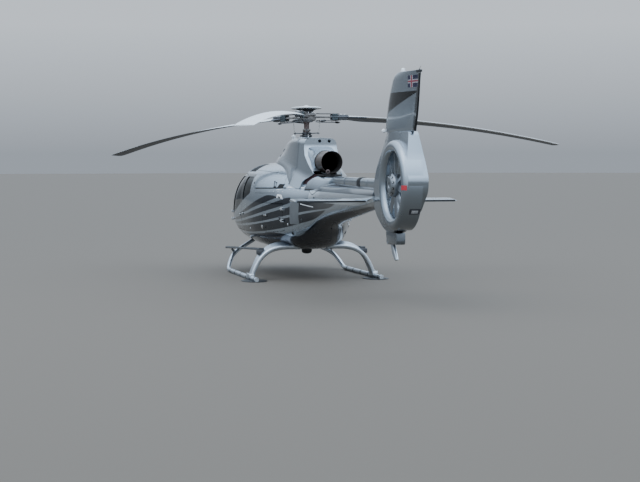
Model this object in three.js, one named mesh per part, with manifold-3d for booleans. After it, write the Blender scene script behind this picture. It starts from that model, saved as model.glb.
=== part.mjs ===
// A light single-engine helicopter on skids, with a wide bubble cabin, a three-blade rotor
// and a shrouded tail fan. Millimetres; +X points to the nose, +Y to the left, +Z up.
// Heights in the tables are above the ground. The part's own origin is the underside of the
// pad under the belly, on the centreline below the rotor mast.
import * as THREE from "three";
import { mergeVertices } from "three/addons/utils/BufferGeometryUtils.js";
import Module from "manifold-3d";

const wasm = await Module();
wasm.setup();

// Driving dimensions
const padHeight = 450; // the belly pad's underside above the ground
const wall = 45; // cabin walls and doors
const aftWall = 30; // around the baggage compartment and the engine deck
const boomWall = 16;
const shroudWall = 14;
const baggageFloor = 890;
const glassDepth = 14; // how far the glass sits inside the outer surface
const glassThickness = 10;
const fitGap = 0.3; // between pieces that touch
const doorGap = 7; // around a piece that moves
const latchGap = 13; // at the free edge, which swings back as it opens
const floorTop = 800;
const bulkheadX = 150;
const boomStartX = -2000;
const boomEndX = -5200;
const roofEdge = 1975;

const rotorRadius = 5345;
const rotorTilt = THREE.MathUtils.degToRad(3); // the mast leans forward
const hubHeight = 3065;
const mastBaseTop = 2755;
const mastRadius = 54;
const bladeDroop = 505; // at the tip, at rest
const bladeAzimuths = [34.7, -85.3, 154.7]; // degrees from the nose towards the left

const fanX = -6385;
const fanHeight = 1885;
const ductRadius = 500;
const fanTipRadius = 488;
const shaftBore = 40.8;
const mastStub = 40;

const skidTrack = 2394; // between the tubes' centrelines
const skidRadius = 40;
const stepLength = 3010;

// Fuselage and boom sections: station x, lowest and highest point, half width, the height
// where it is widest, and how square its upper and lower halves are (2 is an ellipse)
const fuselageColumns = ["x", "zBottom", "zTop", "halfWidth", "zWide", "nTop", "nBottom"];
const fuselageTable = [
  [3385, 1120, 1250, 70, 1185, 2.0, 2.0],
  [3345, 925, 1430, 360, 1180, 2.0, 2.0],
  [3215, 785, 1640, 590, 1190, 2.1, 2.1],
  [2960, 675, 1855, 790, 1205, 2.2, 2.3],
  [2600, 598, 2025, 925, 1230, 2.4, 2.5],
  [2150, 556, 2135, 993, 1260, 2.6, 2.7],
  [1650, 534, 2185, 1013, 1280, 2.9, 2.8],
  [1150, 525, 2200, 1015, 1290, 3.0, 2.9],
  [600, 525, 2195, 982, 1300, 3.0, 2.9],
  [100, 532, 2165, 885, 1305, 2.9, 2.9],
  [-400, 560, 2090, 745, 1320, 2.7, 2.9],
  [-900, 640, 1985, 602, 1340, 2.5, 2.8],
  [-1400, 810, 1905, 468, 1380, 2.4, 2.6],
  [-1900, 1010, 1868, 356, 1450, 2.3, 2.3],
  [-2500, 1140, 1855, 288, 1505, 2.2, 2.1],
  [-3300, 1258, 1848, 242, 1555, 2.1, 2.0],
  [-4300, 1398, 1842, 205, 1622, 2.0, 2.0],
  [-5400, 1548, 1838, 168, 1695, 2.0, 2.0],
];
const fuselageStations = [
  3385, 3368, 3330, 3250, 3120, 2960, 2790, 2600, 2380, 2150, 1900, 1600, 1300, 1000, 700, 400, 100, -200,
  -500, -800, -1150, -1500, -1900, -2500, -3300, -4300, -5400,
];
const fuselageRingPoints = 32;

// Side outlines as x, z; the same on both sides
const frontDoorOutline = [[1330, 856], [2400, 856], [2490, 1210], [1930, 1968], [1330, 1968]];
const frontWindowOutline = [
  [1395, 1385], [1700, 1300], [2395, 1145], [2400, 1230], [1885, 1920], [1395, 1920],
];
const rearDoorOutline = [[430, 856], [1270, 856], [1270, 1968], [430, 1968]];
const rearWindowOutline = [[640, 1610], [1205, 1440], [1205, 1920], [690, 1920]];
const baggageDoorOutline = [[-760, 930], [30, 860], [30, 1440], [-760, 1440]];
const windshieldOutline = [[2566, 1262], [3600, 1300], [3600, 2500], [1640, 2500]];
const chinWindowOutline = [[2640, 870], [3600, 870], [3600, 1190], [2600, 1160]];
const roofWindowOutline = [[1120, 1986], [1700, 1986], [1700, 2300], [1120, 2300]];

const paint = { silver: 0x9aa5ad, dark: 0x2c3038, white: 0xd6dadc, black: 0x15171a };
const metal = { bare: 0xa9adb0, steel: 0x6d6f73, burnt: 0x6b5a52 };
const soft = { leather: 0x8a7d6d, carpet: 0x3b3d42 };
const glassTint = 0x6f8088;

// Three.js geometry to a solid that can be cut, and back
function solidOf(geometry) {
  const bare = geometry.clone();
  bare.deleteAttribute("normal");
  bare.deleteAttribute("uv");
  const merged = mergeVertices(bare, 1e-3);
  return new wasm.Manifold(
    new wasm.Mesh({
      numProp: 3,
      vertProperties: merged.attributes.position.array,
      triVerts: new Uint32Array(merged.index.array),
    }),
  );
}

function geometryOf(solid) {
  const mesh = solid.getMesh();
  const positions = new Float32Array(mesh.numVert * 3);
  for (let i = 0; i < mesh.numVert; i++) {
    positions.set(mesh.vertProperties.subarray(i * mesh.numProp, i * mesh.numProp + 3), i * 3);
  }
  const geometry = new THREE.BufferGeometry();
  geometry.setAttribute("position", new THREE.BufferAttribute(positions, 3));
  geometry.setIndex(new THREE.BufferAttribute(new Uint32Array(mesh.triVerts), 1));
  geometry.computeVertexNormals();
  return geometry;
}

function joined(solids) {
  return solids.reduce((all, next) => all.add(next));
}

// The right-hand twin of a left-hand solid
function mirrored(solid) {
  const geometry = geometryOf(solid).scale(1, -1, 1);
  const index = geometry.index.array;
  for (let i = 0; i < index.length; i += 3) {
    [index[i + 1], index[i + 2]] = [index[i + 2], index[i + 1]];
  }
  return solidOf(geometry);
}

function block(x0, x1, y0, y1, z0, z1) {
  const box = new THREE.BoxGeometry(x1 - x0, y1 - y0, z1 - z0);
  return solidOf(box.translate((x0 + x1) / 2, (y0 + y1) / 2, (z0 + z1) / 2));
}

// An outline drawn in by a gap, or by one gap for each edge; it runs anticlockwise
function shrunk(outline, gap) {
  const count = outline.length;
  const edges = outline.map((point, i) => {
    const next = outline[(i + 1) % count];
    const along = new THREE.Vector2(next[0] - point[0], next[1] - point[1]).normalize();
    const by = Array.isArray(gap) ? gap[i] : gap;
    return { start: new THREE.Vector2(point[0] - along.y * by, point[1] + along.x * by), along };
  });
  return outline.map((_, i) => {
    const a = edges[(i + count - 1) % count];
    const b = edges[i];
    const between = b.start.clone().sub(a.start);
    const reach = between.cross(b.along) / a.along.cross(b.along);
    return [a.start.x + a.along.x * reach, a.start.y + a.along.y * reach];
  });
}

function roundedShape(outline, radius) {
  const shape = new THREE.Shape();
  const count = outline.length;
  for (let i = 0; i < count; i++) {
    const corner = new THREE.Vector2(...outline[i]);
    const before = new THREE.Vector2(...outline[(i + count - 1) % count]).sub(corner);
    const after = new THREE.Vector2(...outline[(i + 1) % count]).sub(corner);
    const reach = Math.min(radius, before.length() / 2.2, after.length() / 2.2);
    const start = before.setLength(reach).add(corner);
    const end = after.setLength(reach).add(corner);
    if (i === 0) shape.moveTo(start.x, start.y);
    else shape.lineTo(start.x, start.y);
    shape.quadraticCurveTo(corner.x, corner.y, end.x, end.y);
  }
  shape.closePath();
  return shape;
}

function plainShape(outline) {
  return new THREE.Shape(outline.map((p) => new THREE.Vector2(...p)));
}

function sidePrism(outline, y0, y1, radius = 0) {
  const shape = radius ? roundedShape(outline, radius) : plainShape(outline);
  const prism = new THREE.ExtrudeGeometry(shape, { depth: y1 - y0, bevelEnabled: false, curveSegments: 3 });
  return solidOf(prism.rotateX(Math.PI / 2).translate(0, y1, 0));
}

// An outline of y, z points between two stations
function endPrism(outline, x0, x1) {
  const prism = new THREE.ExtrudeGeometry(plainShape(outline), { depth: x1 - x0, bevelEnabled: false });
  return solidOf(prism.rotateX(Math.PI / 2).rotateZ(Math.PI / 2).translate(x0, 0, 0));
}

// A round bar or a cone between two points
function rod(from, to, radius, endRadius = radius, sides = 12) {
  const a = new THREE.Vector3(...from);
  const b = new THREE.Vector3(...to);
  const bar = new THREE.CylinderGeometry(endRadius, radius, a.distanceTo(b), sides);
  const along = b.clone().sub(a).normalize();
  const turn = new THREE.Quaternion().setFromUnitVectors(new THREE.Vector3(0, 1, 0), along);
  const middle = a.add(b).multiplyScalar(0.5);
  return solidOf(bar.applyQuaternion(turn).translate(middle.x, middle.y, middle.z));
}

// A tube with a round or flattened section swept along points
function swept(points, halfWidth, halfHeight, sides, steps) {
  const spots = points.map((p) => new THREE.Vector3(...p));
  const route = new THREE.CatmullRomCurve3(spots, false, "centripetal");
  const section = new THREE.Shape();
  for (let i = 0; i < sides; i++) {
    const angle = (i / sides) * 2 * Math.PI;
    const x = halfHeight * Math.cos(angle);
    const y = halfWidth * Math.sin(angle);
    if (i === 0) section.moveTo(x, y);
    else section.lineTo(x, y);
  }
  section.closePath();
  return solidOf(new THREE.ExtrudeGeometry(section, { steps, extrudePath: route, bevelEnabled: false }));
}

// A closed surface through rings of points, all with the same count
function loftedRings(rings) {
  const count = rings[0].length;
  const positions = rings.flat(2);
  const middles = [rings[0], rings[rings.length - 1]].map((ring) =>
    [0, 1, 2].map((k) => ring.reduce((sum, p) => sum + p[k], 0) / count),
  );
  positions.push(...middles.flat());
  const first = rings.length * count;
  const last = first + 1;
  const index = [];
  for (let i = 0; i < count; i++) {
    const j = (i + 1) % count;
    // the far half's diagonals lean the other way, so that the two sides mirror each other
    const farHalf = i >= count / 4 && i < (3 * count) / 4;
    for (let r = 0; r + 1 < rings.length; r++) {
      const a = r * count;
      const b = a + count;
      if (farHalf) index.push(a + i, a + j, b + i, a + j, b + j, b + i);
      else index.push(a + i, a + j, b + j, a + i, b + j, b + i);
    }
    const end = (rings.length - 1) * count;
    index.push(first, j, i, last, end + i, end + j);
  }
  const geometry = new THREE.BufferGeometry();
  geometry.setAttribute("position", new THREE.BufferAttribute(new Float32Array(positions), 3));
  geometry.setIndex(index);
  const made = solidOf(geometry);
  return made.volume() > 0 ? made : solidOf(flipped(geometry));
}

function flipped(geometry) {
  const index = geometry.index.array;
  for (let i = 0; i < index.length; i += 3) {
    [index[i + 1], index[i + 2]] = [index[i + 2], index[i + 1]];
  }
  return geometry;
}

// A smooth value between the rows of a table whose first column falls from row to row
function tableRow(columns, table, x) {
  let i = table.findIndex((row) => row[0] <= x);
  i = i < 1 ? 1 : i;
  const last = table.length - 1;
  const [p0, p1, p2, p3] = [i - 2, i - 1, i, i + 1].map((k) => table[Math.min(Math.max(k, 0), last)]);
  const span = p2[0] - p1[0];
  const t = (x - p1[0]) / span;
  const made = {};
  columns.forEach((name, k) => {
    const slope1 = p2 === p0 || p2[0] === p0[0] ? 0 : ((p2[k] - p0[k]) / (p2[0] - p0[0])) * span;
    const slope2 = p3[0] === p1[0] ? 0 : ((p3[k] - p1[k]) / (p3[0] - p1[0])) * span;
    made[name] =
      (2 * t ** 3 - 3 * t ** 2 + 1) * p1[k] +
      (t ** 3 - 2 * t ** 2 + t) * slope1 +
      (-2 * t ** 3 + 3 * t ** 2) * p2[k] +
      (t ** 3 - t ** 2) * slope2;
  });
  made.x = x;
  return made;
}

const fuselageAt = (x) => tableRow(fuselageColumns, fuselageTable, x);

// The ring of one fuselage section, drawn in by a wall thickness
function sectionRing(section, inset, x, count) {
  const ring = [];
  for (let i = 0; i < count; i++) {
    const angle = (i / count) * 2 * Math.PI;
    const across = Math.cos(angle);
    const up = Math.sin(angle);
    const power = 2 / (up >= 0 ? section.nTop : section.nBottom);
    const half = up >= 0 ? section.zTop - inset - section.zWide : section.zWide - section.zBottom - inset;
    ring.push([
      x,
      (section.halfWidth - inset) * Math.sign(across) * Math.abs(across) ** power,
      section.zWide + half * Math.sign(up) * Math.abs(up) ** power,
    ]);
  }
  return ring;
}

// The fuselage drawn in by an inset, between two stations
function fuselageBody(inset, xFrom = -1e5, xTo = 1e5) {
  const noseShift = inset * 0.9;
  const rings = fuselageStations
    .filter((x) => x >= xFrom && x <= xTo)
    .map((x) => {
      const forward = Math.max(0, Math.min(1, (x - 2400) / 700));
      return sectionRing(fuselageAt(x), inset, x - noseShift * forward, fuselageRingPoints);
    })
    .filter((ring) => ring[0][1] > 12);
  return loftedRings(rings);
}

const outer = fuselageBody(0);
const cabinFrontX = 3500;
const insideSpace = fuselageBody(wall, bulkheadX - 200).intersect(
  block(bulkheadX, cabinFrontX, -1200, 1200, floorTop, 2400),
);
const shell = outer
  .subtract(insideSpace)
  .intersect(block(bulkheadX + fitGap, cabinFrontX, -1200, 1200, floorTop + fitGap, 2400));
const glassSkin = fuselageBody(glassDepth, bulkheadX - 200).subtract(
  fuselageBody(glassDepth + glassThickness, bulkheadX - 200),
);

const farY = 1200;
const postHalf = 32; // half of the windshield's centre post
const chinPostHalf = 70;
const windowRadius = 70;

const frontDoorHole = sidePrism(frontDoorOutline, 300, farY);
const rearDoorHole = sidePrism(rearDoorOutline, 300, farY);
const windshieldHole = sidePrism(windshieldOutline, postHalf, farY);
const chinHole = sidePrism(chinWindowOutline, chinPostHalf, farY, 60);
const roofWindowHole = sidePrism(roofWindowOutline, 330, 800, 30);

function bothSides(solid) {
  return solid.add(mirrored(solid));
}

// One side's pane, a little smaller than its hole
function pane(outline, y0, y1, radius) {
  return glassSkin.intersect(sidePrism(shrunk(outline, fitGap), y0 + fitGap, y1, radius));
}

const noseSplit = [[2460, 700], [3600, 700], [3600, 2500], [1500, 2500], [1995, 1968], [2560, 1210]];

function cabinPanels() {
  const opened = shell
    .subtract(bothSides(frontDoorHole))
    .subtract(bothSides(rearDoorHole))
    .subtract(bothSides(windshieldHole))
    .subtract(bothSides(chinHole))
    .subtract(bothSides(roofWindowHole));
  const noseZone = sidePrism(noseSplit, -farY, farY);
  const nose = opened.intersect(sidePrism(shrunk(noseSplit, fitGap), -farY, farY));
  const behindNose = opened.subtract(noseZone);
  const roof = behindNose.intersect(block(bulkheadX, cabinFrontX, -farY, farY, roofEdge, 2400));
  const underRoof = block(bulkheadX, cabinFrontX, 30, farY, floorTop, roofEdge - fitGap);
  const leftSide = behindNose.intersect(underRoof);
  return { nose, roof, leftSide };
}

// The gaps follow the outline's edges; its last edge is the free one
const frontDoorGaps = [doorGap, doorGap, doorGap, doorGap, latchGap];

// A door is the shell inside its outline, less its window
function doorLeaf(outline, windowOutline, gaps, keepFrom) {
  const leaf = shell.intersect(sidePrism(shrunk(outline, gaps), keepFrom, farY));
  return leaf.subtract(sidePrism(windowOutline, keepFrom, farY, windowRadius));
}

const materials = {};
function finish(name, color, roughness, metalness, opacity = 1) {
  materials[name] = new THREE.MeshStandardMaterial({
    color,
    roughness,
    metalness,
    opacity,
    transparent: opacity < 1,
  });
}
finish("silver_paint", paint.silver, 0.3, 0.4);
finish("dark_paint", paint.dark, 0.25, 0.3);
finish("blade_paint", paint.white, 0.5, 0);
finish("bare_metal", metal.bare, 0.4, 0.9);
finish("dark_metal", metal.steel, 0.6, 0.5);
finish("steel", metal.steel, 0.45, 0.9);
finish("burnt_steel", metal.burnt, 0.55, 0.9);
finish("black_parts", paint.black, 0.6, 0);
finish("glass", glassTint, 0.05, 0, 0.4);
finish("leather", soft.leather, 0.6, 0);
finish("carpet", soft.carpet, 0.9, 0);

const helicopter = new THREE.Group();
const airframe = new THREE.Group();
airframe.position.z = -padHeight;
helicopter.add(airframe);

function place(name, solid, material, parent = airframe) {
  const mesh = new THREE.Mesh(geometryOf(solid), materials[material]);
  mesh.name = name;
  parent.add(mesh);
  return mesh;
}

// Fuselage: solid belly under the floor, framed cabin, aft body and boom
function buildFuselage() {
  const belly = outer.intersect(block(bulkheadX + fitGap, cabinFrontX, -farY, farY, 0, floorTop));
  place("belly_pan", belly, "dark_paint");
  const { nose, roof, leftSide } = cabinPanels();
  place("nose_frame", nose, "silver_paint");
  place("cabin_roof", roof, "silver_paint");
  const hinged = leftSide.add(hinge(hingeTable.frontDoor).fixed);
  place("left_side_frame", hinged, "silver_paint");
  place("right_side_frame", mirrored(hinged.add(hinge(hingeTable.rearDoor).fixed)), "silver_paint");

  const baggageHole = sidePrism(baggageDoorOutline, 200, farY);
  const aftInside = fuselageBody(aftWall).intersect(
    block(boomStartX - 50, bulkheadX - aftWall, -farY, farY, baggageFloor, 2400),
  );
  const aft = outer
    .intersect(block(boomStartX + fitGap, bulkheadX, -farY, farY, 0, 2400))
    .subtract(aftInside)
    .subtract(bothSides(baggageHole))
    .add(bothSides(hinge(hingeTable.baggageDoor).fixed));
  place("aft_fuselage", aft, "dark_paint");
  const leaf = outer
    .subtract(fuselageBody(aftWall))
    .intersect(sidePrism(shrunk(baggageDoorOutline, doorGap), 200, farY))
    .add(hinge(hingeTable.baggageDoor).turning);
  place("left_baggage_door", leaf, "dark_paint");
  place("right_baggage_door", mirrored(leaf), "dark_paint");

  const boom = outer
    .intersect(block(boomEndX, boomStartX, -farY, farY, 0, 2400))
    .subtract(fuselageBody(boomWall, -1e5, boomStartX + 150));
  place("tail_boom", boom, "silver_paint");
}

// Outside hinges: each has two lugs and a pin on the frame and a knuckle on the door.
// columns: axis x, axis y, side of the door along x, depth of the skin there, heights
const hingeTable = {
  frontDoor: [2505, 975, -1, 930, [1040, 1190]],
  rearDoor: [425, 978, 1, 938, [1180, 1450]],
  baggageDoor: [-767, 674, 1, 628, [1120, 1340]],
};
const knuckleRadius = 14;
const pinRadius = 6;

function hinge([axisX, axisY, side, skinY, heights]) {
  const spanX = (from, to) => [axisX + side * from, axisX + side * to].sort((a, b) => a - b);
  const outerY = axisY + knuckleRadius;
  const fixed = heights.flatMap((h) => [
    ...[[h - 25, h - 13], [h + 13, h + 25]].flatMap(([z0, z1]) => [
      block(...spanX(-12, -1), skinY - 25, outerY, z0, z1),
      block(...spanX(-knuckleRadius, knuckleRadius), axisY - knuckleRadius, outerY, z0, z1),
    ]),
    rod([axisX, axisY, h - 20], [axisX, axisY, h + 20], pinRadius),
  ]);
  const turning = heights.map((h) =>
    block(...spanX(0, 100), axisY - 11, axisY + 11, h - 12.7, h + 12.7)
      .add(rod([axisX, axisY, h - 12.7], [axisX, axisY, h + 12.7], knuckleRadius, knuckleRadius, 16))
      .add(block(...spanX(75, 100), skinY, axisY, h - 12.7, h + 12.7))
      .subtract(rod([axisX, axisY, h - 20], [axisX, axisY, h + 20], pinRadius + 0.3)),
  );
  return { fixed: joined(fixed), turning: joined(turning) };
}

function buildDoors() {
  const front = doorLeaf(frontDoorOutline, frontWindowOutline, frontDoorGaps, 300).add(
    hinge(hingeTable.frontDoor).turning,
  );
  const rear = doorLeaf(rearDoorOutline, rearWindowOutline, doorGap, 300).add(
    hinge(hingeTable.rearDoor).turning,
  );
  const slidingRear = doorLeaf(rearDoorOutline, rearWindowOutline, fitGap, 300);
  const frontPane = pane(frontWindowOutline, 300, farY, windowRadius);
  const rearPane = pane(rearWindowOutline, 300, farY, windowRadius);
  place("left_front_door", front, "silver_paint");
  place("left_front_door_window", frontPane, "glass");
  place("right_front_door", mirrored(front), "silver_paint");
  place("right_front_door_window", mirrored(frontPane), "glass");
  // the left rear door slides, so it fills its hole face to face with the frame
  place("left_rear_door", slidingRear, "silver_paint");
  place("left_rear_door_window", rearPane, "glass");
  place("right_rear_door", mirrored(rear), "silver_paint");
  place("right_rear_door_window", mirrored(rearPane), "glass");
}

function buildGlass() {
  const windshield = pane(windshieldOutline, postHalf, farY, 0);
  const chin = pane(chinWindowOutline, chinPostHalf, farY, 60);
  const skylight = glassSkin.intersect(
    sidePrism(shrunk(roofWindowOutline, fitGap), 330 + fitGap, 800 - fitGap, 30),
  );
  place("left_windshield", windshield, "glass");
  place("right_windshield", mirrored(windshield), "glass");
  place("left_chin_window", chin, "glass");
  place("right_chin_window", mirrored(chin), "glass");
  place("left_roof_window", skylight, "glass");
  place("right_roof_window", mirrored(skylight), "glass");
}

// Cowlings over the gearbox and the engine. side: where the upright flank starts to flare
const cowlColumns = ["x", "zTop", "topHalf", "sideHalf", "zSide", "baseHalf", "zBase"];
const cowlTable = [
  [1780, 2200, 60, 114, 2065, 180, 1900],
  [1560, 2330, 130, 220, 2137, 330, 1900],
  [1250, 2480, 190, 307, 2219, 450, 1900],
  [900, 2585, 240, 366, 2277, 520, 1900],
  [450, 2640, 285, 400, 2280, 545, 1900],
  [-100, 2660, 335, 412, 2220, 540, 1880],
  [-500, 2660, 358, 415, 2150, 540, 1850],
  [-850, 2657, 352, 402, 2060, 520, 1780],
  [-1060, 2650, 312, 375, 2010, 490, 1740],
  [-1350, 2640, 272, 328, 1960, 420, 1720],
  [-1640, 2630, 230, 272, 1940, 350, 1700],
];
const cowlSplitX = -800;
const cowlWall = 28;
const cowlHollowEnd = -1060;

function cowlRing(row, inset) {
  const top = row.zTop - inset;
  const round = Math.min(110, (top - row.zBase) * 0.25);
  const half = row.topHalf - inset;
  const low = inset ? row.zBase - 200 : row.zBase;
  const side = [
    [row.baseHalf - inset, low],
    [row.sideHalf - inset, row.zSide],
    [half, top - round],
    [half - round * 0.3, top - round * 0.3],
    [half - round, top],
  ];
  const ring = [...side, ...side.map(([y, z]) => [-y, z]).reverse()];
  return ring.map(([y, z]) => [row.x, y, z]);
}

function cowlBody(inset, frontX, rearX) {
  const rings = cowlTable
    .filter((row) => row[0] <= frontX && row[0] >= rearX)
    .map((row) => cowlRing(tableRow(cowlColumns, cowlTable, row[0]), inset));
  return loftedRings(rings);
}

// Behind its upright rear band the engine cowl is cut away above the pipe, and its flanks
// run on as two low walls
const cowlRearCut = [
  [-2500, 1400], [-1230, 1400], [-1270, 1850], [-1330, 1890], [-1600, 1975], [-1640, 2005], [-1560, 2060],
  [-1390, 2170], [-1180, 2330], [-1095, 2500], [-1095, 2750], [-2500, 2750],
];

// The bell that closes from the rear band to the pipe.
// columns: x, half width, half height, squareness (2 is an ellipse)
const bellTable = [
  [-1062, 285, 285, 4.5],
  [-1095, 285, 285, 4.5],
  [-1180, 256, 258, 3.6],
  [-1300, 230, 232, 2.6],
  [-1480, 214, 214, 2],
];

function bellBody() {
  const count = 28;
  const rings = bellTable.map(([x, wide, high, power]) => {
    const ring = [];
    for (let i = 0; i < count; i++) {
      const angle = (i / count) * 2 * Math.PI;
      const [across, up] = [Math.cos(angle), Math.sin(angle)];
      ring.push([
        x,
        wide * Math.sign(across) * Math.abs(across) ** (2 / power),
        pipeAxis[1] + high * Math.sign(up) * Math.abs(up) ** (2 / power),
      ]);
    }
    return ring;
  });
  return loftedRings(rings);
}

// The cowl and the fairing behind it leave a slot for cooling air
const deckFrontCut = [
  [-1000, 2300], [-1760, 2300], [-1760, 2100], [-1680, 1945], [-1330, 1830], [-1290, 1400], [-1000, 1400],
];

// The fairing under the pipe, behind the engine cowl.
// columns: x, shoulder height, shoulder half width, base half width
const deckColumns = ["x", "zTop", "topHalf", "baseHalf"];
const deckTable = [
  [-1290, 1975, 310, 460],
  [-1500, 1972, 280, 415],
  [-1700, 1965, 235, 360],
  [-2000, 1950, 150, 260],
  [-2260, 1945, 88, 170],
];

function deckBody() {
  const rings = deckTable.map((row) => {
    const { x, zTop, topHalf, baseHalf } = tableRow(deckColumns, deckTable, row[0]);
    const side = [
      [baseHalf, 1500], [baseHalf, 1730], [topHalf + 40, zTop - 60], [topHalf, zTop - 12], [topHalf - 50, zTop],
    ];
    return [...side, ...side.map(([y, z]) => [-y, z]).reverse()].map(([y, z]) => [x, y, z]);
  });
  return loftedRings(rings);
}

const pipeAxis = [0, 2215];
const pipeOuter = 195;

function pipeClearance(radius, fromX, toX) {
  return rod([fromX, pipeAxis[0], pipeAxis[1]], [toX, pipeAxis[0], pipeAxis[1]], radius, radius, 28);
}

function buildCowls() {
  const skin = fuselageBody(-fitGap);
  const cowls = cowlBody(0, 1800, -1640)
    .subtract(skin)
    .subtract(cowlBody(cowlWall, 1400, cowlHollowEnd))
    .subtract(cowlBody(cowlWall, -1000, -1700).intersect(block(-1700, -1095, -farY, farY, 1000, 3000)))
    .subtract(sidePrism(cowlRearCut, -farY, farY));
  const mastHole = rod([0, 0, 2500], [0, 0, 2800], 150);
  const front = cowls.intersect(block(cowlSplitX + fitGap, 2000, -farY, farY, 0, 3000)).subtract(mastHole);
  place("gearbox_cowl", front, "silver_paint");
  const rear = cowls
    .intersect(block(-1700, cowlSplitX, -farY, farY, 0, 3000))
    .add(bellBody().subtract(skin))
    .subtract(pipeClearance(pipeOuter + 8, -1050, -1700));
  place("engine_cowl", largest(rear), "silver_paint");
  const deck = deckBody()
    .subtract(skin)
    .subtract(sidePrism(deckFrontCut, -farY, farY))
    .subtract(pipeClearance(pipeOuter + 8, -1000, -2400));
  place("exhaust_deck", largest(deck), "silver_paint");
}

// A point on the mast's axis, at a distance above the hub's middle
function alongMast(distance) {
  return [distance * Math.sin(rotorTilt), 0, hubHeight + distance * Math.cos(rotorTilt)];
}

function buildEngine() {
  const length = 620;
  const mouthWall = 6;
  const flangeRadius = 142.5;
  const profile = [
    [flangeRadius, 0], [pipeOuter, 50], [pipeOuter, length], [pipeOuter - mouthWall, length],
    [pipeOuter - mouthWall, 56], [flangeRadius, 12], [flangeRadius, 0],
  ];
  const pipe = new THREE.LatheGeometry(profile.map((p) => new THREE.Vector2(...p)), 28);
  // the lathe's axis is +Y: turned so that the mouth faces aft
  pipe.rotateZ(Math.PI / 2).translate(-1320, ...pipeAxis);
  place("exhaust_nozzle", solidOf(pipe), "burnt_steel");
  const skin = fuselageBody(-fitGap);
  const outletRadius = flangeRadius - fitGap;
  const outlet = rod([-1040, ...pipeAxis], [-1335, ...pipeAxis], outletRadius, outletRadius, 28);
  const engine = block(-1040, -640, -220, 220, 1850, 2380).add(outlet);
  place("engine_block", engine.subtract(skin), "steel");
  const gearbox = block(-300, 300, -230, 230, 2000, 2480)
    .subtract(skin)
    .add(rod([-15, 0, 2470], [-15, 0, mastBaseTop], 130, 74, 20))
    .subtract(rod(alongMast(-440), alongMast(-250), mastStub + 0.8, mastStub + 0.8, 32));
  place("main_gearbox", gearbox, "steel");
}

// Drive shaft cover along the top of the boom
const coverWidths = [1, 1, 0.92, 0.85];

function buildShaftCover() {
  const frontX = deckTable[deckTable.length - 1][0] - fitGap;
  const section = [[88, 1700], [88, 1912], [66, 1950], [30, 1962]];
  const rings = [frontX, -3600, -5100, boomEndX + 10].map((x, i) =>
    [...section, ...section.map(([y, z]) => [-y, z]).reverse()].map(([y, z]) => [x, y * coverWidths[i], z]),
  );
  place("drive_shaft_cover", loftedRings(rings).subtract(fuselageBody(-fitGap)), "silver_paint");
}

function largest(solid) {
  return solid.decompose().sort((a, b) => b.volume() - a.volume())[0];
}

// Shroud, fan, fin, tail skid and stabiliser
const shroudOutline = [
  [boomEndX - fitGap, 1520], [-5330, 1370], [-5600, 1190], [-5740, 1150], [-6120, 1150], [-6300, 1270],
  [-6760, 1500], [-7060, 1790], [-7088, 1970], [-6930, 2330], [-6820, 2700], [-5660, 2700], [-5600, 2600],
  [-5420, 2240], [boomEndX - fitGap, 1850],
];
const shroudInside = [
  [boomEndX + 20, 1540], [-5340, 1400], [-5620, 1215], [-5750, 1185], [-6110, 1185], [-6280, 1300],
  [-6740, 1520], [-7030, 1800], [-7050, 1960], [-6895, 2330], [-6790, 2660], [-5700, 2660], [-5630, 2570],
  [-5440, 2210], [boomEndX + 20, 1820],
];
// half thickness at each height
const shroudThickness = [[1100, 80], [1300, 126], [1600, 150], [1985, 157], [2350, 140], [2720, 122]];
// seen from above, half width at each x, as wide as the fan and at the top
const shroudPlan = [
  [-5000, 200, 14], [-5400, 200, 18], [-6000, 200, 122], [-6300, 200, 116], [-7300, 200, 24],
];
const planStart = 1985; // the plan narrows from the fan's height to the top
const planTop = 2720;
const lipRadius = 95;
const lipMiddle = 140; // the lip's centre is this far left of the fan's middle
const lipEnd = -70; // the lip's ring stops inside the shroud on the right, where the duct is plain

function buildShroud() {
  const right = shroudThickness.map(([z, half]) => [half, z]);
  const left = shroudThickness.map(([z, half]) => [-half, z]).reverse();
  const disc = sidePrism(shroudOutline, -200, 200, 60)
    .intersect(endPrism([...right, ...left], -7300, -5000))
    .intersect(planBody(0));
  const lip = [];
  const arcSteps = 6;
  for (let i = 0; i <= arcSteps; i++) {
    const angle = (i / arcSteps) * Math.PI;
    const radius = ductRadius + lipRadius * (1 - Math.cos(angle));
    lip.push(new THREE.Vector2(radius, lipRadius * Math.sin(angle) + lipMiddle));
  }
  const profile = [
    ...lip,
    new THREE.Vector2(ductRadius + 2 * lipRadius, lipEnd),
    new THREE.Vector2(ductRadius, lipEnd),
    lip[0],
  ];
  const ring = new THREE.LatheGeometry(profile, 32).translate(fanX, 0, fanHeight);
  const lips = solidOf(flipIfNeeded(ring));
  const inner = shroudThickness.map(([z, half]) => [half - shroudWall, z]);
  const cavity = sidePrism(shroudInside, -200, 200, 50)
    .intersect(endPrism([...inner, ...inner.map(([y, z]) => [-y, z]).reverse()], -7300, -5000))
    .intersect(planBody(shroudWall))
    .subtract(ductRod(ductRadius + 2 * shroudWall));
  place("tail_fan_shroud", disc.add(lips).subtract(ductRod(ductRadius)).subtract(cavity), "silver_paint");
}

function planBody(inset) {
  const ringAt = (z, column) => {
    const side = shroudPlan.map((row) => [row[0], Math.max(2, row[column] - inset), z]);
    return [...side, ...side.map(([x, y]) => [x, -y, z]).reverse()];
  };
  return loftedRings([ringAt(1000, 1), ringAt(planStart, 1), ringAt(planTop, 2)]);
}

function ductRod(radius) {
  return rod([fanX, -400, fanHeight], [fanX, 400, fanHeight], radius, radius, 32);
}

function flipIfNeeded(geometry) {
  return solidOf(geometry).volume() > 0 ? geometry : flipped(geometry);
}

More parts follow.
